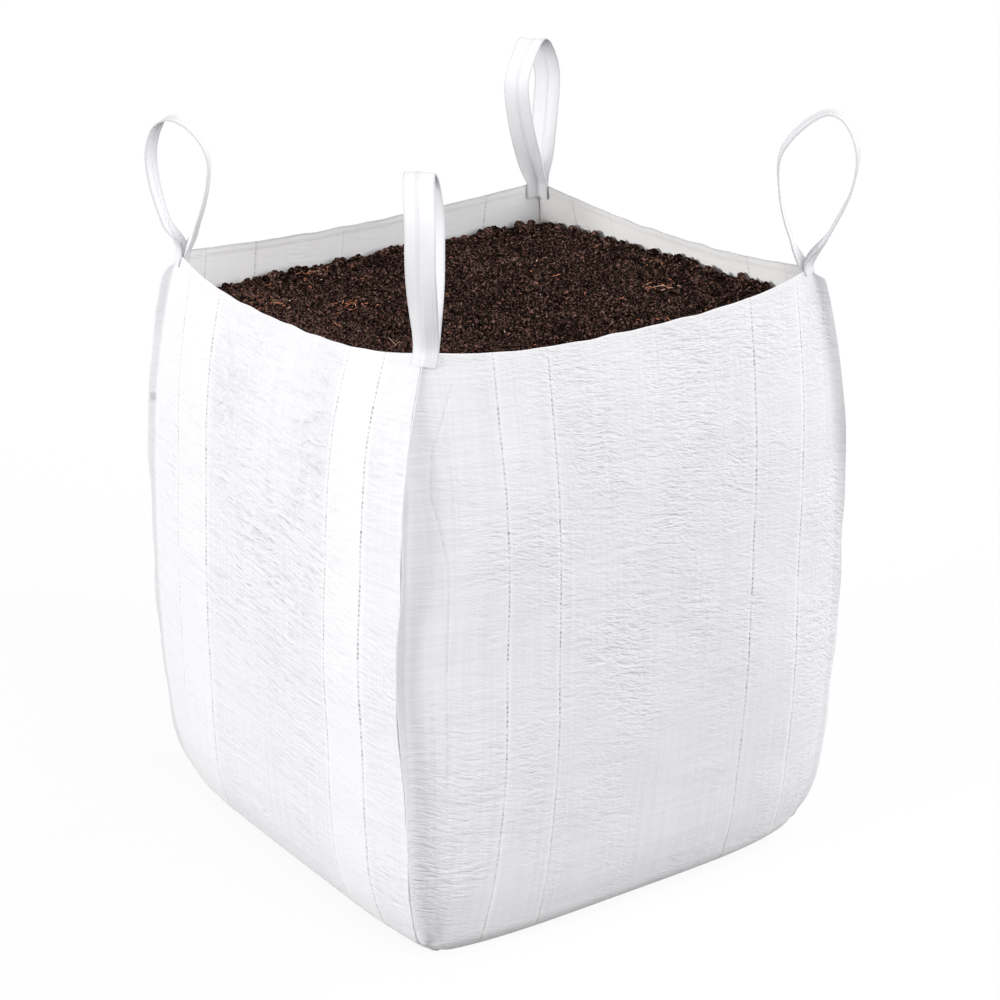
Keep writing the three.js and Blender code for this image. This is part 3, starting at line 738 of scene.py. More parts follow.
def fibre_material():
    """Bark and root fibres, from damp and dark to dry and pale."""
    c = colours()
    material, n, shader = new_material("bark_fibre", 0.7, 0.3)
    tone = n.attribute("tone")
    grain = n.noise(n.object_place(), 420.0, 2.0)
    colour = n.mix(n.range(tone, 0.0, 0.35, 1.0, 0.0), c.fibre, c.fibre_dark)
    colour = n.mix(n.range(tone, 0.72, 0.98), colour, c.fibre_pale)
    n.put(shader["Base Color"], n.mix(n.times(grain, 0.35), colour, c.fibre_grain))
    n.put(shader["Normal"], n.bump(grain, 0.4 * MILLIMETRE))
    return material


# Cloth

WALL_ROWS, WALL_COLUMNS = 126, 116
WALL_END = 0.9875
FOOT_ROWS = [0.0, 0.0015, 0.0035, 0.006, 0.009, 0.013, 0.018, 0.024, 0.031, 0.039]
BASE_ROWS = np.linspace(-0.95, 0.95, 20)
FIN_COLUMNS = 5
FIN_TIPS = np.linspace(1.0, 0.12, FIN_COLUMNS)
FIN_SIDES = 1 + 0.04 * FIN_TIPS
FIN_ROOT = 0.0012
# Lean of each corner's seam allowance at its foot, and the share of the height below the rim over which
# it comes out to its full width
FINS = [(-0.28, 0.22), (1.25, 0.02), (0.6, 0.05), (-1.0, 0.05)]
# How soon the lean begins below the rim, at the other three corners
FIN_LIMP = {1: 0.05, 2: 0.1, 3: 0.1}
SEAM_GAP = 0.00015
SEAM_PINCH, PINCH_WIDTH = 0.008, 0.014
FOOT_TUCK, TUCK_WIDTH = 0.007, 0.014
BROAD_DENT, SMALL_DENT = 0.0032, 0.0012
BAND_RISE, BAND_SLOPE = 0.0008, 0.002
HEM_LAYERS, CLOTH_LAYERS = 0.66, 0.5
# What the cloth's material reads at each point
FINISHES = ["wall", "bands", "pale", "sewn", "edge", "wrinkles", "crumple", "slant", "fold", "seam", "dust_and_shade"]
BASE_FINISH = {"wall": 4.0, "fold": 1.0, "seam": 1.0, "dust_and_shade": 0.3}
WALL_BANDS = (0.08, 0.5, 0.5, 0.8)
WALL_CRUMPLE = (0.45, 0.6, 0.6, 1.0)
# Soft patches on a wall: amount, centre and size, across from its middle and down from the rim
HIDDEN_WRINKLES = [
    (0.4, (0.02, 0.40), (0.17, 0.22)),
    (0.6, (-0.35, 0.80), (0.05, 0.10)),
    (0.3, (0.30, 0.45), (0.06, 0.2)),
]
WRINKLES = {
    FRONT: [
        (0.7, (-0.375, 0.85), (0.055, 0.06)),
        (0.32, (0.0, 0.20), (0.15, 0.10)),
        (0.35, (0.02, 0.06), (0.22, 0.08)),
        (0.22, (0.04, 0.48), (0.26, 0.24)),
        (0.35, (-0.24, 0.72), (0.06, 0.14)),
        (-0.7, (-0.42, 0.30), (0.07, 0.30)),
        (0.4, (0.37, 0.82), (0.04, 0.08)),
    ],
    RIGHT: HIDDEN_WRINKLES,
    BACK: HIDDEN_WRINKLES,
    LEFT: [
        (1.3, (0.02, 0.43), (0.17, 0.18)),
        (0.4, (0.14, 0.25), (0.05, 0.18)),
        (0.4, (-0.14, 0.20), (0.05, 0.16)),
        (0.5, (-0.34, 0.42), (0.06, 0.10)),
    ],
}
CRUMPLES = [(1.0, (-0.13, 0.17), (0.06, 0.15)), (1.0, (0.13, 0.20), (0.06, 0.18))]
DUST = {
    FRONT: [(0.14, (-0.39, 0.55), (0.03, 0.22)), (0.10, (-0.33, 0.12), (0.04, 0.10))],
    LEFT: [(0.20, (0.02, 0.56), (0.05, 0.05))],
}
# The line where the front was folded: heights below the rim, and how far left of the middle it runs
FOLD_HEIGHTS, FOLD_LINE = (0.04, 0.145, 0.215, 0.33, 0.55), (0.364, 0.395, 0.401, 0.385, 0.384)
FOLD_TOP, FOLD_END = 0.042, 0.70
# A distance from a stitch line at which nothing of it shows
FAR_OFF = 1.0


def wall_heights():
    """Shares of the height at which a wall has its rows: close at the foot and the hem."""
    s = sizes()
    hem = (s.hem_depth + 0.0008, s.hem_depth - 0.0008)
    below = np.array([0.030, 0.024, 0.0195, *hem, 0.011, 0.006, 0.0022, 0.0008, 0.0])
    middle = np.linspace(0.048, s.rim_height - 0.038, WALL_ROWS)
    return np.concatenate([FOOT_ROWS, middle, s.rim_height - below]) / s.rim_height


def fin_points(index, level, sign):
    """The outer face of a seam allowance, from its tip in to its root."""
    s = sizes()
    corner = index % 4
    point, outward, aside = corner_frame(index, level)
    height = level * s.rim_height
    below = s.rim_height - height
    lean, top = FINS[corner]
    lap = s.web_lap * LOOP_POSES[corner]["lap"]
    width = s.seam_width * ease((height - 0.022) / 0.024) * ease((below - lap) / 0.012)
    width = np.maximum(width * ease((1 - level) / top), FIN_ROOT)
    sway = 0.10 * np.sin(height * 21.0 + index * 2.1) + 0.06 * np.sin(height * 47.0 + index)
    if corner == NEAR:
        lean = lean * ease((0.65 - level) / 0.08) * ease((level - 0.28) / 0.16) + sway * 0.4
    else:
        lean = lean * ease(FIN_LIMP[corner] + (1 - level) * 1.4) + sway
    lean = lean * ease((width - FIN_ROOT) / 0.008)
    made = []
    for tip in FIN_TIPS:
        turn = (lean * (0.75 + 0.25 * tip))[:, None]
        way = outward * np.cos(turn) + aside * np.sin(turn)
        beside = aside * np.cos(turn) - outward * np.sin(turn)
        made.append(point + way * (width * tip)[:, None] + beside * (sign * (SEAM_GAP + s.fabric)))
    return made


def wall_sheet(wall, levels):
    """Outer points of one wall, from seam allowance to seam allowance, with their sides."""
    s = sizes()
    side = np.linspace(-WALL_END, WALL_END, WALL_COLUMNS)
    points = wall_point(wall, side[None, :], levels[:, None])
    left = np.stack(fin_points(wall, levels, 1), axis=1)
    right = np.stack(fin_points(wall + 1, levels, -1)[::-1], axis=1)
    sides = np.concatenate([-FIN_SIDES, side, FIN_SIDES[::-1]])
    sheet = np.concatenate([left, points, right], axis=1)
    tuck = FOOT_TUCK * ease((0.065 - levels * s.rim_height) / 0.05)[:, None, None]
    for index, end in ((wall, -1), (wall + 1, 1)):
        away = np.maximum(0.0, 1 - sides * end) * s.corner_reach
        outward = corner_frame(index, levels)[1][:, None, :]
        sheet = sheet - outward * tuck * np.exp(-(away / TUCK_WIDTH) ** 2)[None, :, None]
        if index == NEAR:
            pinch = SEAM_PINCH * ease((0.95 - levels) / 0.12) * ease((levels - 0.05) / 0.10)
            pinch = pinch * (1 - 0.85 * ease((0.80 - levels) / 0.30))
            sheet = sheet + outward * pinch[:, None, None] * np.exp(-away / PINCH_WIDTH)[None, :, None]
    return sheet, sides


def patches(across, below, table):
    """Soft round patches added up, each full in its middle and nought beyond it."""
    made = np.zeros(across.shape)
    for amount, centre, size in table:
        x = (across - centre[0]) / size[0]
        y = (below - centre[1]) / size[1]
        made = made + amount * np.exp(-(x * x + y * y))
    return made


def wall_dents(wall, across, below):
    """Broad soft dents in a full wall, in metres."""
    flat = np.zeros(across.size)
    for i, (x, y) in enumerate(zip(across.ravel(), below.ravel())):
        broad = noise.noise(Vector((x * 5.0 + wall * 9.1, y * 4.2, 3.0)))
        small = noise.noise(Vector((x * 13.0 + wall * 5.3, y * 17.0, 8.0)))
        flat[i] = BROAD_DENT * broad + SMALL_DENT * small
    return flat.reshape(across.shape)


def wall_wrinkles(wall, across, below):
    """Where a wall is wrinkled more than elsewhere, or less."""
    made = patches(across, below, WRINKLES[wall])
    if wall == FRONT:
        return made - 0.34 * ease((below - 0.60) / 0.15) * ease((across + 0.36) / 0.08)
    return made + (0.15 if wall == LEFT else 0.0)


def wall_crumple(wall, across, below):
    """Where a wall has short slanting creases, most of all below the rim beside the bands."""
    return WALL_CRUMPLE[wall] * (patches(across, below, CRUMPLES) + 0.15)


def wall_slant(wall, across, below):
    """How far the wrinkles run down across a wall, in metres."""
    if wall == LEFT:
        return -0.12 * across * ease((below - 0.22) / 0.2)
    if wall != FRONT:
        return np.zeros(across.shape)
    away = np.maximum(across + sizes().corner_reach, 0)
    corner = 0.30 * np.minimum(away, 0.06) * ease((below - 0.45) / 0.25)
    return -corner - 0.20 * away


def wall_fold(wall, across, below):
    """Distance from a faint line where the cloth was folded."""
    if wall == FRONT:
        line = np.interp(below, FOLD_HEIGHTS, FOLD_LINE)
        return across + line + np.where((below < FOLD_TOP) | (below > FOLD_END), FAR_OFF, 0.0)
    if wall == LEFT:
        return (across - 0.015) * (1 + 2 * ease((below - 0.2) / 0.4))
    return across - 0.01


def wall_seam(wall, across, below):
    """Distance from the sewing that shows beside the lower part of the near seam."""
    if wall != FRONT:
        return np.full(across.shape, FAR_OFF)
    edge = sizes().corner_reach * share(1 - below / sizes().rim_height, REACH)
    return across + edge - 0.020 + np.where(below < 0.50, FAR_OFF, 0.0)


def wall_dust_and_foot_grey(wall, across, below):
    """Where earth dust has rubbed into the cloth near the rim and in patches, and a grey that darkens the
    lowest part of each wall.
    """
    rim = ease((0.05 - below) / 0.05) * (0.5 + 0.5 * np.sin(across * 31.0 + wall))
    made = 0.22 * ease((below - 0.93) / 0.08) + 0.10 * rim
    return np.clip(made + patches(across, below, DUST.get(wall, [])), 0.0, 1.0)


def wall_sewn(wall, across):
    """How plainly the stitches of a wall's bands show."""
    if wall == LEFT:
        return 0.75 + 0.25 * ease((across - 0.22) / 0.04)
    return np.full(across.shape, 1.0 if wall == FRONT else 0.8)


def front_edge_shade(sides, below, tips):
    """Painted shade on the front: grey on its seam allowances and their tips, and a soft painted shade beside
    the near seam below the rim.
    """
    low = ease((below - 0.13) / 0.10) * (1 - 0.65 * ease((below - 0.50) / 0.25))
    near_fin = np.maximum(0.40 * tips, np.where(sides < -1.0, 0.42, 0.0)) * low
    away = np.maximum(0.0, 1 + sides) * sizes().corner_reach
    shade = 0.24 * ease((below - 0.018) / 0.006) * (1 - 0.95 * ease((below - 0.12) / 0.2))
    near_fin = np.maximum(near_fin, shade * np.exp(-away / 0.018))
    far_fin = np.where(sides > 1.0, 0.24 - 0.22 * ease(below / 0.13), 0.0)
    return np.maximum(near_fin, far_fin)


def left_edge_shade(sides, below, tips):
    """Painted shade on the left wall's seam allowances, with a dark painted shade where the far one is
    twisted.
    """
    far_fin = np.where((sides < -1.0) & (sides > -1.039), 0.34, np.where(sides < 0, 0.0, tips) * 0.4)
    spot = np.where((sides < -1) & (sides > -1.03), 0.9, 0.0)
    twist = np.exp(-((below - 0.265) / 0.011) ** 2) * spot
    return np.maximum(far_fin * ease((1.0 - below) / 0.1), twist)


def wall_edge_shade(wall, sides, below):
    """Painted shade on the cut edges: grey on the tips of the seam allowances, and a painted dark line along
    the top of the far rims.
    """
    sides = sides[None, :]
    tips = ease((np.abs(sides) - 1.005) / 0.035)
    if wall == FRONT:
        return front_edge_shade(sides, below, tips)
    if wall == LEFT:
        return left_edge_shade(sides, below, tips)
    # painted shade: grey seam allowance tips and a dark line along the top of the far rims
    return np.maximum(0.40 * tips, np.where(below < 0.0015, 0.6, 0.0))


def wall_cloth(wall, levels):
    """Points, flat places, layers and finish of one wall of the bag."""
    s = sizes()
    points, sides = wall_sheet(wall, levels)
    below = (1 - levels) * s.rim_height
    across = cloth_across(wall, sides[None, :], levels[:, None])
    down = np.broadcast_to(below[:, None], points.shape[:2])
    normal = wall_normal(wall, np.clip(sides, -0.98, 0.98)[None, :], levels[:, None])
    free = np.clip(1 - np.abs(sides) ** 10, 0, 1)[None, :] * ease((down - 0.02) / 0.10)
    free = free * ease((s.rim_height - down - 0.01) / 0.12)
    calm = 1 - 0.75 * np.exp(-((down - s.soil_below_rim) / 0.06) ** 2)
    reach = np.abs(across)
    band = ease((reach - s.band_inner + BAND_SLOPE) / (2 * BAND_SLOPE))
    band = band * ease((s.band_outer + BAND_SLOPE - reach) / (2 * BAND_SLOPE))
    roll = np.select([below < 0.0004, below < 0.0014], [-0.0010, -0.0003], 0.0)
    lift = wall_dents(wall, across, down) * free * calm
    lift = lift + BAND_RISE * band * ease((s.rim_height - down) / 0.03) + roll[:, None]
    layers = np.where(below < s.hem_depth, HEM_LAYERS, CLOTH_LAYERS)
    return {
        "points": points + normal * lift[..., None] + centre_shift(),
        "flat": np.stack([across, down], axis=-1),
        "layers": np.broadcast_to(layers[:, None], across.shape),
        "wall": np.full(across.shape, float(wall)),
        "bands": np.full(across.shape, WALL_BANDS[wall]),
        "pale": 0.7 * ease((-across - s.band_outer) / 0.004) * (wall == LEFT),
        "sewn": wall_sewn(wall, across),
        "edge": wall_edge_shade(wall, sides, down),
        "wrinkles": wall_wrinkles(wall, across, down),
        "crumple": wall_crumple(wall, across, down),
        "slant": wall_slant(wall, across, down),
        "fold": wall_fold(wall, across, down),
        "seam": wall_seam(wall, across, down),
        "dust_and_shade": wall_dust_and_foot_grey(wall, across, down),
    }


def spanned(front, right, back, left, corners, across, deep):
    """A surface stretched between four edges that meet at four corners."""
    a, d = across[..., None], deep[..., None]
    lower = corners[0] * (1 - a) + corners[1] * a
    upper = corners[3] * (1 - a) + corners[2] * a
    return front * (1 - d) + back * d + left * (1 - a) + right * a - lower * (1 - d) - upper * d


def base_cloth():
    """The cloth under the soil, between the feet of the four walls."""
    s = sizes()
    inner = np.linspace(-WALL_END, WALL_END, WALL_COLUMNS)
    ends = 1 - 0.0025 * np.arange(FIN_COLUMNS)
    side, depth = np.meshgrid(np.concatenate([-ends, inner, ends[::-1]]), BASE_ROWS)
    level = np.zeros(side.shape)
    points = spanned(
        wall_point(FRONT, side, level), wall_point(RIGHT, depth, level),
        wall_point(BACK, -side, level), wall_point(LEFT, -depth, level),
        [corner_point(i, level) for i in range(4)], (side + 1) / 2, (depth + 1) / 2)
    points[..., 2] = 0.0
    below = s.rim_height + (depth + 1) * s.corner_reach
    cloth = {finish: np.full(side.shape, BASE_FINISH.get(finish, 0.0)) for finish in FINISHES}
    cloth["points"] = points + centre_shift()
    cloth["flat"] = np.stack([side * s.corner_reach, below], axis=-1)
    cloth["layers"] = np.full(side.shape, CLOTH_LAYERS)
    return cloth


def mirrored(cloth):
    return {key: value[:, ::-1] for key, value in cloth.items()}


def upended(cloth):
    return {key: value[::-1] for key, value in cloth.items()}


def cloth_piece(name, cloth, material):
    """A panel of cloth with its thickness, its lowest points held at the floor."""
    piece = laid_grid(name, cloth["points"], cloth["flat"])
    for finish in FINISHES:
        point_values(piece, finish, cloth[finish])
    outer = len(piece.data.vertices)
    thicken(piece, sizes().fabric * 2, cloth["layers"])
    count = len(piece.data.vertices)
    point_values(piece, "inside", np.arange(count) >= outer)
    place = np.zeros(count * 3, np.float32)
    piece.data.vertices.foreach_get("co", place)
    place[2::3] = np.maximum(place[2::3], 0.0)
    piece.data.vertices.foreach_set("co", place)
    piece.data.update()
    smooth(piece, 50)
    piece.data.materials.append(material)
    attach(piece, "root")
    return piece


class BAG_OT_cloth(bpy.types.Operator):
    """Makes the body panel and the two side panels of woven cloth"""

    bl_idname = "bulk_bag.cloth"
    bl_label = "Woven cloth"

    def execute(self, context):
        s = context.scene.bag_sizes
        material = cloth_material()
        levels = wall_heights()
        front = wall_cloth(FRONT, levels)
        back = upended(mirrored(wall_cloth(BACK, levels)))
        back["flat"] = back["flat"] * np.array([-1.0, 1.0])
        base = upended(base_cloth())
        body = {key: np.concatenate([back[key], base[key], front[key]]) for key in front}
        piece = cloth_piece("body_cloth", body, material)
        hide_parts("body_panel")
        lift = (s.fabric + 0.0004) / s.rim_height
        raised = np.concatenate([[lift], levels[levels > lift + 0.0008]])
        for wall, name, node in (
            (LEFT, "left_side_cloth", "side_panel_left"),
            (RIGHT, "right_side_cloth", "side_panel_right"),
        ):
            piece = cloth_piece(name, wall_cloth(wall, raised), material)
            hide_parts(node)
        return {"FINISHED"}


# Lifting loops

# Places of the legs and the crown of each loop, as shares of its spread and rise
LOOP_POSES = [
    dict(inner=-0.75, inner_aside=-0.03, outer=0.6, outer_aside=0.09, crown=-0.1, crown_aside=-0.08,
         rise=1.03, twist=0.05, folded=0.6, lap=1.0),
    dict(inner=-1.0, inner_aside=0.0, outer=1.08, outer_aside=0.0, crown=0.33, crown_aside=0.0,
         rise=0.97, twist=-0.2, folded=0.22, lap=0.45),
    dict(inner=-0.8, inner_aside=0.56, outer=0.77, outer_aside=-0.12, crown=0.0, crown_aside=0.22,
         rise=1.0, twist=0.5, folded=0.22, lap=1.0),
    dict(inner=-1.0, inner_aside=0.0, outer=0.66, outer_aside=0.0, crown=0.07, crown_aside=0.0,
         rise=0.87, twist=-0.4, folded=0.22, lap=1.0),
]
LOOP_NAMES = ["near", "right", "back", "left"]
WEB_ROWS, WEB_COLUMNS = 150, 33
WEB_CLEARANCE = 0.0004
RIM_CLEARANCE = 0.002
FOLD_ROUNDING = 0.0012
CORD_RISE, CORD_PITCH = 0.00022, 0.0058
GROOVE_DEPTH, GROOVE_PLACE, GROOVE_WIDTH = 0.0006, -0.11, 0.075
EDGE_CURL = 0.0012
SELVEDGE = 0.0007


def curve_through(points, count):
    """Evenly spaced points on a smooth curve through the given ones."""
    points = np.asarray(points, float)
    ends = np.concatenate([[2 * points[0] - points[1]], points, [2 * points[-1] - points[-2]]])
    t = np.linspace(0, 1, 40, endpoint=False)[:, None]
    line = []
    for p0, p1, p2, p3 in zip(ends, ends[1:], ends[2:], ends[3:]):
        d0, d1, d2 = (max(np.linalg.norm(b - a), 1e-6) ** 0.5 for a, b in ((p0, p1), (p1, p2), (p2, p3)))
        start = ((p1 - p0) / d0 - (p2 - p0) / (d0 + d1) + (p2 - p1) / d1) * d1
        finish = ((p2 - p1) / d1 - (p3 - p1) / (d1 + d2) + (p3 - p2) / d2) * d1
        bend = (2 * t ** 3 - 3 * t ** 2 + 1) * p1 + (t ** 3 - 2 * t ** 2 + t) * start
        line.append(bend + (-2 * t ** 3 + 3 * t ** 2) * p2 + (t ** 3 - t ** 2) * finish)
    line = np.concatenate(line + [points[-1:]])
    along = np.concatenate([[0], np.cumsum(np.linalg.norm(np.diff(line, axis=0), axis=1))])
    even = np.linspace(0, along[-1], count)
    return np.stack([np.interp(even, along, line[:, k]) for k in range(3)], axis=1), even


def rim_corner(index):
    """A corner of the rim: its point, its outward and sideways ways, and half the turn of the rim."""
    tip, outward, aside = corner_frame(index, np.array(1.0))
    before = wall_normal((index + 3) % 4, 0.93, 1.0)
    after = wall_normal(index, -0.93, 1.0)
    return tip, outward, aside, math.acos(float(np.dot(before, after))) / 2


def loop_path(index):
    """The middle line of a loop, from its foot inside the bag over its crown to its foot outside."""
    s = sizes()
    pose = LOOP_POSES[index]
    tip, outward, aside, bend = rim_corner(index)
    down = corner_point(index, 0.965) - tip
    down = down / abs(down[2])
    mitre = 1 / math.cos(bend)
    rise, lap = s.loop_rise * pose["rise"], s.web_lap * pose["lap"]
    inner, outer, crown = (s.loop_spread * pose[key] for key in ("inner", "outer", "crown"))
    inner_aside, outer_aside, crown_aside = (
        s.loop_spread * pose[key] for key in ("inner_aside", "outer_aside", "crown_aside"))

    def at(out, beside, height):
        return tip + outward * out + aside * beside + UP * height

    def foot(away, height):
        return tip - down * height + outward * away * mitre

    outside = WEB_CLEARANCE + s.web_thickness / 2
    inside = -(2 * s.fabric + outside)
    start, finish = foot(inside, RIM_CLEARANCE), foot(outside, RIM_CLEARANCE)
    start_out = float(np.dot(start - tip, outward))
    finish_out = float(np.dot(finish - tip, outward))
    return curve_through([
        foot(inside, -s.web_lap * 1.4), foot(inside, -s.web_lap * 0.5), start,
        at(start_out + inner * 0.5, inner_aside * 0.4, rise * 0.2),
        at(inner * 0.95, inner_aside * 0.85, rise * 0.5),
        at(inner * 0.95, inner_aside, rise * 0.74),
        at(inner * 0.45 + crown * 0.55, inner_aside * 0.35 + crown_aside * 0.65, rise * 0.94),
        at(crown, crown_aside, rise),
        at(outer * 0.55 + crown * 0.45, outer_aside * 0.35 + crown_aside * 0.65, rise * 0.95),
        at(outer, outer_aside, rise * 0.76),
        at(outer * 0.9, outer_aside * 0.8, rise * 0.5),
        at(finish_out + outer * 0.36, outer_aside * 0.3, rise * 0.2),
        finish, foot(outside, -lap * 0.5), foot(outside, -lap),
    ], WEB_ROWS)


def loop_points(index):
    """Rows of points across the outer face of a loop's webbing, and their flat places."""
    s = sizes()
    pose = LOOP_POSES[index]
    tip, outward, aside, bend = rim_corner(index)
    rise = s.loop_rise * pose["rise"]
    path, even = loop_path(index)
    tangent = np.gradient(path, even, axis=0)
    tangent /= np.linalg.norm(tangent, axis=1, keepdims=True)
    height = path[:, 2] - tip[2]
    row = np.arange(WEB_ROWS)
    crest = int(np.argmax(height))
    twist = pose["twist"] * ease(height / rise) * np.clip((row - crest) / 8.0, -1, 1) * 0.5
    across = aside[None, :] - outward[None, :] * twist[:, None]
    across = across - tangent * np.sum(across * tangent, axis=1, keepdims=True)
    across /= np.linalg.norm(across, axis=1, keepdims=True)
    normal = np.cross(across, tangent)
    open_out = ease((height - RIM_CLEARANCE) / (rise * pose["folded"]))
    fold = (bend * (1 - open_out) * np.where(row < crest, -1, 1))[:, None]
    x = np.linspace(-1, 1, WEB_COLUMNS)[None, :]
    wide = s.web_width / 2
    arm = np.sqrt(x * x + FOLD_ROUNDING) - math.sqrt(FOLD_ROUNDING)
    cords = CORD_RISE * np.cos(x * wide * 2 * math.pi / CORD_PITCH)
    groove = GROOVE_DEPTH * np.exp(-((x - GROOVE_PLACE) / GROOVE_WIDTH) ** 2)
    curl = EDGE_CURL * (np.sin(even * 23.0 + index * 1.7) * ease(height / 0.08))[:, None] * x * x
    lift = arm * wide * np.sin(fold) + cords - groove + curl + s.web_thickness / 2
    flat = x * wide * np.cos(fold)
    rows = path[:, None, :] + across[:, None, :] * flat[..., None] + normal[:, None, :] * lift[..., None]
    places = np.stack(np.broadcast_arrays(x * wide, even[:, None]), axis=-1)
    return rows + centre_shift(), places


class BAG_OT_loops(bpy.types.Operator):
    """Makes the four lifting loops of webbing"""

    bl_idname = "bulk_bag.loops"
    bl_label = "Lifting loops"

    def execute(self, context):
        s = context.scene.bag_sizes
        material = webbing_material()
        for index, name in enumerate(LOOP_NAMES):
            piece = laid_grid("loop_" + name, *loop_points(index))
            thicken(piece, s.web_thickness)
            pick(piece)
            bevel = piece.modifiers.new("selvedge", "BEVEL")
            bevel.width = SELVEDGE
            bevel.segments = 2
            bevel.limit_method = "ANGLE"
            bevel.angle_limit = math.radians(50)
            bpy.ops.object.modifier_apply(modifier=bevel.name)
            smooth(piece, 45)
            piece.data.materials.append(material)
            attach(piece, "root")
            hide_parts("lifting_loop_" + name)
        return {"FINISHED"}


# Soil

SOIL_CELLS = 214
SOIL_END = 0.985
SOIL_INSET, CRUMB_INSET = 0.003, 0.004
# Heights of the soil's sides below its top, and their width as a share of the top's
SOIL_SIDES = [(0.90, 0.975), (0.50, 1.02), (0.12, 0.97), (0.004, 0.87)]
SOIL_TONE = 0.25
# Height of the rounded crumbs in the soil's top, their width as a share of a crumb, and how far they are sunk
RELIEF_CRUMBS = [(0.0036, 1.7), (0.0034, 0.9)]
RELIEF_SINK = 0.0025
LUMP_PUSH, LUMP_GRAIN = 0.30, 0.16
RIM_CRUMBS = 0.12
STONE_TONE, STONE_RADIUS = 0.984, 0.0011
FIBRE_BUNCHES = [(0.15, 0.80), (0.34, 0.94), (0.28, 0.66), (0.82, 0.34)]
FIBRE_RINGS, FIBRE_SIDES = 6, 4
FIBRE_LIFT = 0.0034


def soil_edge(x, y):
    """Height of the soil's edge, which slopes up to the right corner."""
    s = sizes()
    return s.rim_height - s.soil_below_rim + s.soil_rise * (x - y) / (2 * s.corner_reach)


def soil_rim(wall, side, inset):
    """Where the soil meets the inner face of a wall, a little inside it."""
    s = sizes()
    side = np.asarray(side, float)
    level = np.full(side.shape, 1 - s.soil_below_rim / s.rim_height)
    for _ in range(6):
        point = wall_point(wall, side, level)
        level = level + (soil_edge(point[..., 0], point[..., 1]) - point[..., 2]) / s.rim_height
    normal = wall_normal(wall, side, level)
    normal[..., 2] = 0
    return wall_point(wall, side, level) - normal * (s.fabric + inset)


def soil_place(across, deep, inset):
    """A place on the level soil, across and deep from nought to one."""
    across, deep = np.broadcast_arrays(np.asarray(across, float), np.asarray(deep, float))
    return spanned(
        soil_rim(FRONT, (2 * across - 1) * SOIL_END, inset),
        soil_rim(RIGHT, (2 * deep - 1) * SOIL_END, inset),
        soil_rim(BACK, (1 - 2 * across) * SOIL_END, inset),
        soil_rim(LEFT, (1 - 2 * deep) * SOIL_END, inset),
        [soil_rim(wall, np.full(across.shape, -SOIL_END), inset) for wall in range(4)],
        across, deep)


def lump(x, y, cell, seed):
    """Repeatable lumps, from minus a half to a half."""
    def value(i, j):
        wave = np.sin(i * 127.1 + j * 311.7 + seed * 74.7) * 43758.5453
        return wave - np.floor(wave)

    u, v = x / cell, y / cell
    i, j = np.floor(u), np.floor(v)
    a, b = ease(u - i), ease(v - j)
    low = value(i, j) * (1 - a) + value(i + 1, j) * a
    high = value(i, j + 1) * (1 - a) + value(i + 1, j + 1) * a
    return low * (1 - b) + high * b - 0.5


def soil_relief(points, across, deep):
    """Heaps and rounded crumbs on the soil, in metres above its level, less of them at its edge."""
    s = sizes()
    x, y = points[:, 0], points[:, 1]
    within = np.minimum(np.minimum(across, 1 - across), np.minimum(deep, 1 - deep))
    heaps = s.heap_height * lump(x, y, s.heap_width, 4) + s.clod_size * lump(x, y, s.clod_width, 1)
    crumbs = np.full(len(points), -RELIEF_SINK)
    for i, place in enumerate(points[:, :2]):
        spot = Vector((place[0], place[1], 0.0))
        for height, width in RELIEF_CRUMBS:
            cell = spot / (s.crumb_size * width)
            off = noise.voronoi(cell, distance_metric="DISTANCE_SQUARED")[0][0]
            crumbs[i] += height * max(0.0, 1 - 2.2 * off)
    level = s.soil_mound * ease(within * 1.6) + heaps * np.clip(within * 12, 0, 1)
    return level + crumbs * ease(within * 14 + 0.35)


class BAG_OT_soil(bpy.types.Operator):
    """Makes the topsoil that fills the bag, with a lumpy top"""

    bl_idname = "bulk_bag.soil"
    bl_label = "Topsoil"

    def execute(self, context):
        steps = np.linspace(0, 1, SOIL_CELLS + 1)
        across, deep = np.meshgrid(steps, steps)
        points = soil_place(across, deep, SOIL_INSET)
        relief = soil_relief(points.reshape(-1, 3), across.ravel(), deep.ravel())
        points[..., 2] += relief.reshape(across.shape)
        piece = laid_grid("soil_fill", points + centre_shift(), np.stack([across, deep], axis=-1))
        mesh = bmesh.new()
        mesh.from_mesh(piece.data)
        width_above = 1.0
        for height, width in SOIL_SIDES:
            edge = [e for e in mesh.edges if e.is_boundary]
            made = bmesh.ops.extrude_edge_only(mesh, edges=edge)["geom"]
            narrowed = width / width_above
            for vert in (v for v in made if isinstance(v, bmesh.types.BMVert)):
                vert.co = Vector((vert.co.x * narrowed, vert.co.y * narrowed, height))
            width_above = width
        bmesh.ops.edgeloop_fill(mesh, edges=[e for e in mesh.edges if e.is_boundary])
        bmesh.ops.recalc_face_normals(mesh, faces=mesh.faces)
        mesh.to_mesh(piece.data)
        mesh.free()
        point_values(piece, "tone", np.full(len(piece.data.vertices), SOIL_TONE))
        smooth(piece, 70)
        piece.data.materials.append(soil_material())
        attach(piece, "root")
        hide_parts("topsoil")
        return {"FINISHED"}


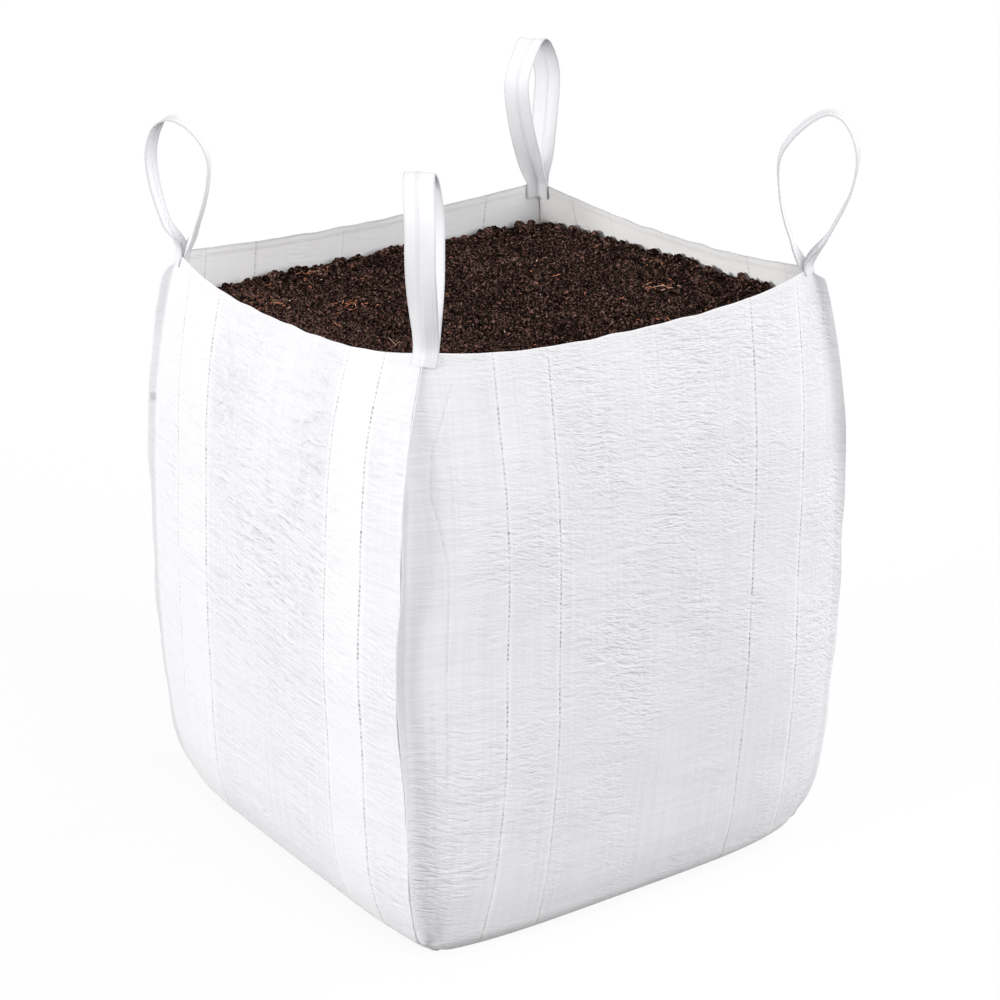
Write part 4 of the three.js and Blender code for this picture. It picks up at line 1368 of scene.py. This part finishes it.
def rounded_lumps(count, segments, rings, seed):
    """A few uneven rounded lumps to copy."""
    deselect()
    bpy.ops.mesh.primitive_uv_sphere_add(segments=segments, ring_count=rings, radius=1.0)
    bpy.ops.object.mode_set(mode="EDIT")
    bpy.ops.mesh.quads_convert_to_tris()
    bpy.ops.object.mode_set(mode="OBJECT")
    ball = bpy.context.object
    verts = np.array([v.co for v in ball.data.vertices])
    faces = np.array([p.vertices for p in ball.data.polygons])
    bpy.data.objects.remove(ball, do_unlink=True)
    shapes = []
    for k in range(count):
        push = [noise.noise(Vector(v) * 1.3 + Vector((k * 7.3, seed, 0))) for v in verts]
        fine = [noise.noise(Vector(v) * 2.9 + Vector((k * 3.1, 0, seed))) for v in verts]
        shapes.append(verts * (1 + LUMP_PUSH * np.array(push) + LUMP_GRAIN * np.array(fine))[:, None])
    return shapes, faces


def turns(count, pick_from):
    """Rotation matrices, one for each copy."""
    q = pick_from.normal(size=(count, 4))
    w, x, y, z = (q / np.linalg.norm(q, axis=1, keepdims=True)).T
    return np.stack([
        np.stack([1 - 2 * (y * y + z * z), 2 * (x * y - z * w), 2 * (x * z + y * w)], -1),
        np.stack([2 * (x * y + z * w), 1 - 2 * (x * x + z * z), 2 * (y * z - x * w)], -1),
        np.stack([2 * (x * z - y * w), 2 * (y * z + x * w), 1 - 2 * (x * x + y * y)], -1),
    ], axis=1)


def scatter(name, places, radii, shapes, faces, tones, pick_from):
    """One mesh of lumps set at their places, each turned its own way."""
    count, size = len(places), len(shapes[0])
    which = pick_from.integers(0, len(shapes), count)
    squash = pick_from.uniform(0.72, 1.1, size=(count, 1, 3))
    verts = np.stack(shapes)[which] * squash
    verts = np.einsum("nij,nkj->nki", turns(count, pick_from), verts)
    verts = verts * radii[:, None, None] + places[:, None, :]
    offsets = (np.arange(count) * size)[:, None, None]
    piece = mesh_piece(name, verts.reshape(-1, 3), (faces[None] + offsets).reshape(-1, 3))
    point_values(piece, "tone", np.repeat(tones, size))
    piece.data.materials.append(bpy.data.objects["soil_fill"].data.materials[0])
    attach(piece, "root")


def soil_spots(across, deep, lift):
    """Places on top of the lumpy soil, raised by a given amount."""
    points = soil_place(across, deep, CRUMB_INSET)
    points[:, 2] += soil_relief(points, across, deep) + lift
    return points + centre_shift()


def edge_spots(count, pick_from, away):
    """Places round the soil's edge, a little way in from the cloth."""
    run = pick_from.uniform(0, 4, count)
    far = pick_from.uniform(*away, count)
    wall, part = run.astype(int), 0.02 + 0.96 * (run % 1)
    far = np.where(wall == RIGHT, 0.5 * far, far)
    across = np.choose(wall, [part, 1 - far, 1 - part, far])
    deep = np.choose(wall, [far, part, 1 - far, 1 - part])
    return across, deep


class BAG_OT_crumbs(bpy.types.Operator):
    """Makes the loose crumbs and grains on top of the soil"""

    bl_idname = "bulk_bag.crumbs"
    bl_label = "Crumbs and grains"

    def execute(self, context):
        s = context.scene.bag_sizes
        pick_from = np.random.default_rng(41)
        shapes, faces = rounded_lumps(9, 7, 4, 3.0)
        rim = int(s.crumbs * RIM_CRUMBS)
        radii = s.crumb_size / 2 * pick_from.lognormal(0.05, 0.32, s.crumbs)
        radii = np.clip(radii, s.crumb_size * 0.25, s.crumb_size * 0.95)
        across, deep = pick_from.uniform(0.025, 0.975, (2, s.crumbs))
        across[:rim], deep[:rim] = edge_spots(rim, pick_from, (0.014, 0.030))
        radii[rim:] *= 0.72
        radii[:rim] = np.clip(radii[:rim] * 1.6, 0.0042, 0.0105)
        places = soil_spots(across, deep, radii * pick_from.uniform(0.05, 0.55, s.crumbs))
        tones = 0.95 * pick_from.uniform(0, 1, s.crumbs) ** 1.3
        scatter("soil_crumbs", places, radii, shapes, faces, tones, pick_from)
        shapes, faces = rounded_lumps(9, 5, 3, 11.0)
        radii = pick_from.uniform(0.0012, 0.0034, s.grains)
        across, deep = pick_from.uniform(0.015, 0.985, (2, s.grains))
        tones = pick_from.uniform(0, 1, s.grains)
        radii = np.where(tones > STONE_TONE, STONE_RADIUS, radii)
        places = soil_spots(across, deep, radii * 0.5)
        scatter("soil_grains", places, radii, shapes, faces, tones, pick_from)
        return {"FINISHED"}


def fibre_places(count, bunched, pick_from):
    """Where the fibres lie: the first of them in bunches, and the others anywhere."""
    across, deep = pick_from.uniform(0.03, 0.97, (2, count))
    order = np.arange(count)
    bunch = np.array(FIBRE_BUNCHES)[order % len(FIBRE_BUNCHES)]
    stray = pick_from.normal(0, 0.022, (2, count))
    across = np.where(order < bunched, bunch[:, 0] + stray[0], across)
    deep = np.where(order < bunched, np.minimum(bunch[:, 1] + stray[1], 0.97), deep)
    return soil_spots(across, deep, FIBRE_LIFT)


def fibre_points(places, pick_from):
    """Rings of points along curled and tapered fibres, one fibre at each place."""
    count = len(places)
    heading = pick_from.uniform(0, 2 * math.pi, count)
    curl = pick_from.normal(0, 0.7, count)
    lengths = np.clip(pick_from.lognormal(-4.9, 0.5, count), 0.004, 0.026)
    thick = pick_from.uniform(0.0005, 0.0011, count)
    arch = pick_from.uniform(0.0, 0.12, count) * lengths
    rise = pick_from.normal(0, 0.45, count) * lengths
    t = np.linspace(-0.5, 0.5, FIBRE_RINGS)[None, :]
    turn = heading[:, None] + curl[:, None] * t
    step = np.stack([np.cos(turn), np.sin(turn)], axis=-1) * (lengths / (FIBRE_RINGS - 1))[:, None, None]
    flat = np.cumsum(step, axis=1) - np.sum(step, axis=1, keepdims=True) / 2
    lift = arch[:, None] * (1 - 4 * t * t) + rise[:, None] * t
    line = np.concatenate([flat, lift[..., None]], axis=-1) + places[:, None, :]
    beside = np.stack([-np.sin(turn), np.cos(turn), np.zeros_like(turn)], axis=-1)
    taper = (thick[:, None] * (1 - 0.75 * np.abs(2 * t) ** 3))[..., None]
    ring = [line + beside * taper, line + UP * taper, line - beside * taper, line - UP * taper]
    return np.stack(ring, axis=2).reshape(-1, 3)


def fibre_faces(count):
    """Triangles of square tubes with closed ends."""
    faces = []
    for i in range(FIBRE_RINGS - 1):
        for j in range(FIBRE_SIDES):
            a, b = i * FIBRE_SIDES + j, i * FIBRE_SIDES + (j + 1) % FIBRE_SIDES
            faces += [(a, b, b + FIBRE_SIDES), (a, b + FIBRE_SIDES, a + FIBRE_SIDES)]
    end = (FIBRE_RINGS - 1) * FIBRE_SIDES
    faces += [(0, 2, 1), (0, 3, 2), (end, end + 1, end + 2), (end, end + 2, end + 3)]
    offsets = (np.arange(count) * FIBRE_RINGS * FIBRE_SIDES)[:, None, None]
    return (np.array(faces)[None] + offsets).reshape(-1, 3)


class BAG_OT_fibres(bpy.types.Operator):
    """Makes the root and bark fibres that lie in the soil"""

    bl_idname = "bulk_bag.fibres"
    bl_label = "Fibres"

    def execute(self, context):
        s = context.scene.bag_sizes
        pick_from = np.random.default_rng(17)
        places = fibre_places(s.fibres, s.bunched_fibres, pick_from)
        verts = fibre_points(places, pick_from)
        piece = mesh_piece("soil_fibres", verts, fibre_faces(s.fibres))
        mesh = bmesh.new()
        mesh.from_mesh(piece.data)
        bmesh.ops.recalc_face_normals(mesh, faces=mesh.faces)
        mesh.to_mesh(piece.data)
        mesh.free()
        tones = pick_from.uniform(0, 1, s.fibres)
        point_values(piece, "tone", np.repeat(tones, FIBRE_RINGS * FIBRE_SIDES))
        piece.data.materials.append(fibre_material())
        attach(piece, "root")
        return {"FINISHED"}


# Stage

CAMERA_TURN = math.radians(-35.27)
CAMERA_TILT = math.radians(20.10)
CAMERA_AIM = Vector((0.0, 0.0, 0.5049))
CAMERA_BACK, CAMERA_RIGHT, CAMERA_UP = 4.6300, 0.02171, 0.07709
CAMERA_LENS, CAMERA_SENSOR = 96.36, 36.0
# Strength, softness in degrees and way of travel of each lamp
LAMPS = {
    "side_lamp": (2.30, 16, (0.985, -0.035, -0.135)),
    "front_lamp": (1.60, 45, (-0.25, 0.88, -0.38)),
    "right_lamp": (1.25, 40, (-0.93, 0.10, -0.35)),
}
WHITE = (1.0, 1.0, 1.0, 1.0)
SKY_LIGHT = 0.65
FLOOR_SIZE, FLOOR_DROP = 60.0, 0.0005
FLOOR_GLOW = 0.90


def seen_by_eye(n):
    """One where the camera, a mirror or glass sees the surface, and nought where it only gives light."""
    path = n.tree.nodes.new("ShaderNodeLightPath").outputs
    return n.larger(path["Is Camera Ray"], n.larger(path["Is Glossy Ray"], path["Is Transmission Ray"]))


def floor_material():
    """A pale floor that keeps the bag's shadow."""
    c = colours()
    material, n, shader = new_material("pale_floor", 0.9, 0.1)
    seen = seen_by_eye(n)
    n.put(shader["Base Color"], n.mix(seen, c.floor, c.floor_seen))
    glow = n.add("ShaderNodeEmission", Color=WHITE, Strength=1.0)
    lit = n.tree.nodes["Principled BSDF"].outputs[0]
    surface = n.add("ShaderNodeMixShader", in0=n.times(seen, FLOOR_GLOW), in1=lit, in2=glow)
    n.put(n.tree.nodes["Material Output"].inputs["Surface"], surface)
    return material


def studio_world():
    world = bpy.data.worlds.new("studio")
    world.use_nodes = True
    n = Nodes(world.node_tree)
    backdrop = n.tree.nodes["Background"].inputs
    backdrop["Color"].default_value = WHITE
    n.put(backdrop["Strength"], n.times_plus(seen_by_eye(n), 1.0 - SKY_LIGHT, SKY_LIGHT))
    return world


def studio_camera():
    """A camera that looks down at the near corner."""
    level = math.cos(CAMERA_TILT)
    back = Vector((
        math.sin(CAMERA_TURN) * level, -math.cos(CAMERA_TURN) * level, math.sin(CAMERA_TILT)))
    right = (-back).cross(Vector(UP)).normalized()
    up = right.cross(-back)
    lens = bpy.data.cameras.new("camera")
    lens.lens = CAMERA_LENS
    lens.sensor_width = CAMERA_SENSOR
    camera = bpy.data.objects.new("camera", lens)
    camera.location = CAMERA_AIM + back * CAMERA_BACK + right * CAMERA_RIGHT + up * CAMERA_UP
    camera.rotation_euler = (-back).to_track_quat("-Z", "Y").to_euler()
    return camera


class BAG_OT_stage(bpy.types.Operator):
    """Makes the floor, the light and the camera"""

    bl_idname = "bulk_bag.stage"
    bl_label = "Stage"

    def execute(self, context):
        scene = context.scene
        deselect()
        bpy.ops.mesh.primitive_plane_add(size=FLOOR_SIZE, location=(0.0, 0.0, -FLOOR_DROP))
        floor = context.object
        floor.name = "stage_floor"
        bpy.ops.object.transform_apply(location=True, rotation=True, scale=True)
        floor.data.materials.append(floor_material())
        scene.world = studio_world()
        for name, (energy, softness, way) in LAMPS.items():
            lamp = bpy.data.lights.new(name, "SUN")
            lamp.energy = energy
            lamp.angle = math.radians(softness)
            placed = bpy.data.objects.new(name, lamp)
            placed.rotation_euler = Vector(way).to_track_quat("-Z", "Y").to_euler()
            scene.collection.objects.link(placed)
        scene.camera = studio_camera()
        scene.collection.objects.link(scene.camera)
        scene.view_settings.view_transform = "Standard"
        return {"FINISHED"}


class BAG_PT_panel(bpy.types.Panel):
    """Lists the bag's sizes, its colours and the steps that make it"""

    bl_idname = "BAG_PT_panel"
    bl_label = "Bulk bag of topsoil"
    bl_space_type = "VIEW_3D"
    bl_region_type = "UI"
    bl_category = "Bulk bag"

    def draw(self, context):
        layout = self.layout
        for group in (context.scene.bag_sizes, context.scene.bag_colours):
            for name in group.__annotations__:
                layout.prop(group, name)
        for operator in OPERATORS:
            layout.operator(operator.bl_idname)


OPERATORS = [BAG_OT_stage, BAG_OT_cloth, BAG_OT_loops, BAG_OT_soil, BAG_OT_crumbs, BAG_OT_fibres]
CLASSES = [BagSizes, BagColours, *OPERATORS, BAG_PT_panel]


def register():
    for made in CLASSES:
        bpy.utils.register_class(made)
    bpy.types.Scene.bag_sizes = PointerProperty(type=BagSizes)
    bpy.types.Scene.bag_colours = PointerProperty(type=BagColours)


def unregister():
    del bpy.types.Scene.bag_sizes
    del bpy.types.Scene.bag_colours
    for made in reversed(CLASSES):
        bpy.utils.unregister_class(made)


def main():
    register()
    deselect()
    bpy.ops.bulk_bag.stage()
    bpy.ops.bulk_bag.cloth()
    bpy.ops.bulk_bag.loops()
    bpy.ops.bulk_bag.soil()
    bpy.ops.bulk_bag.crumbs()
    bpy.ops.bulk_bag.fibres()


if __name__ == "__main__":
    main()
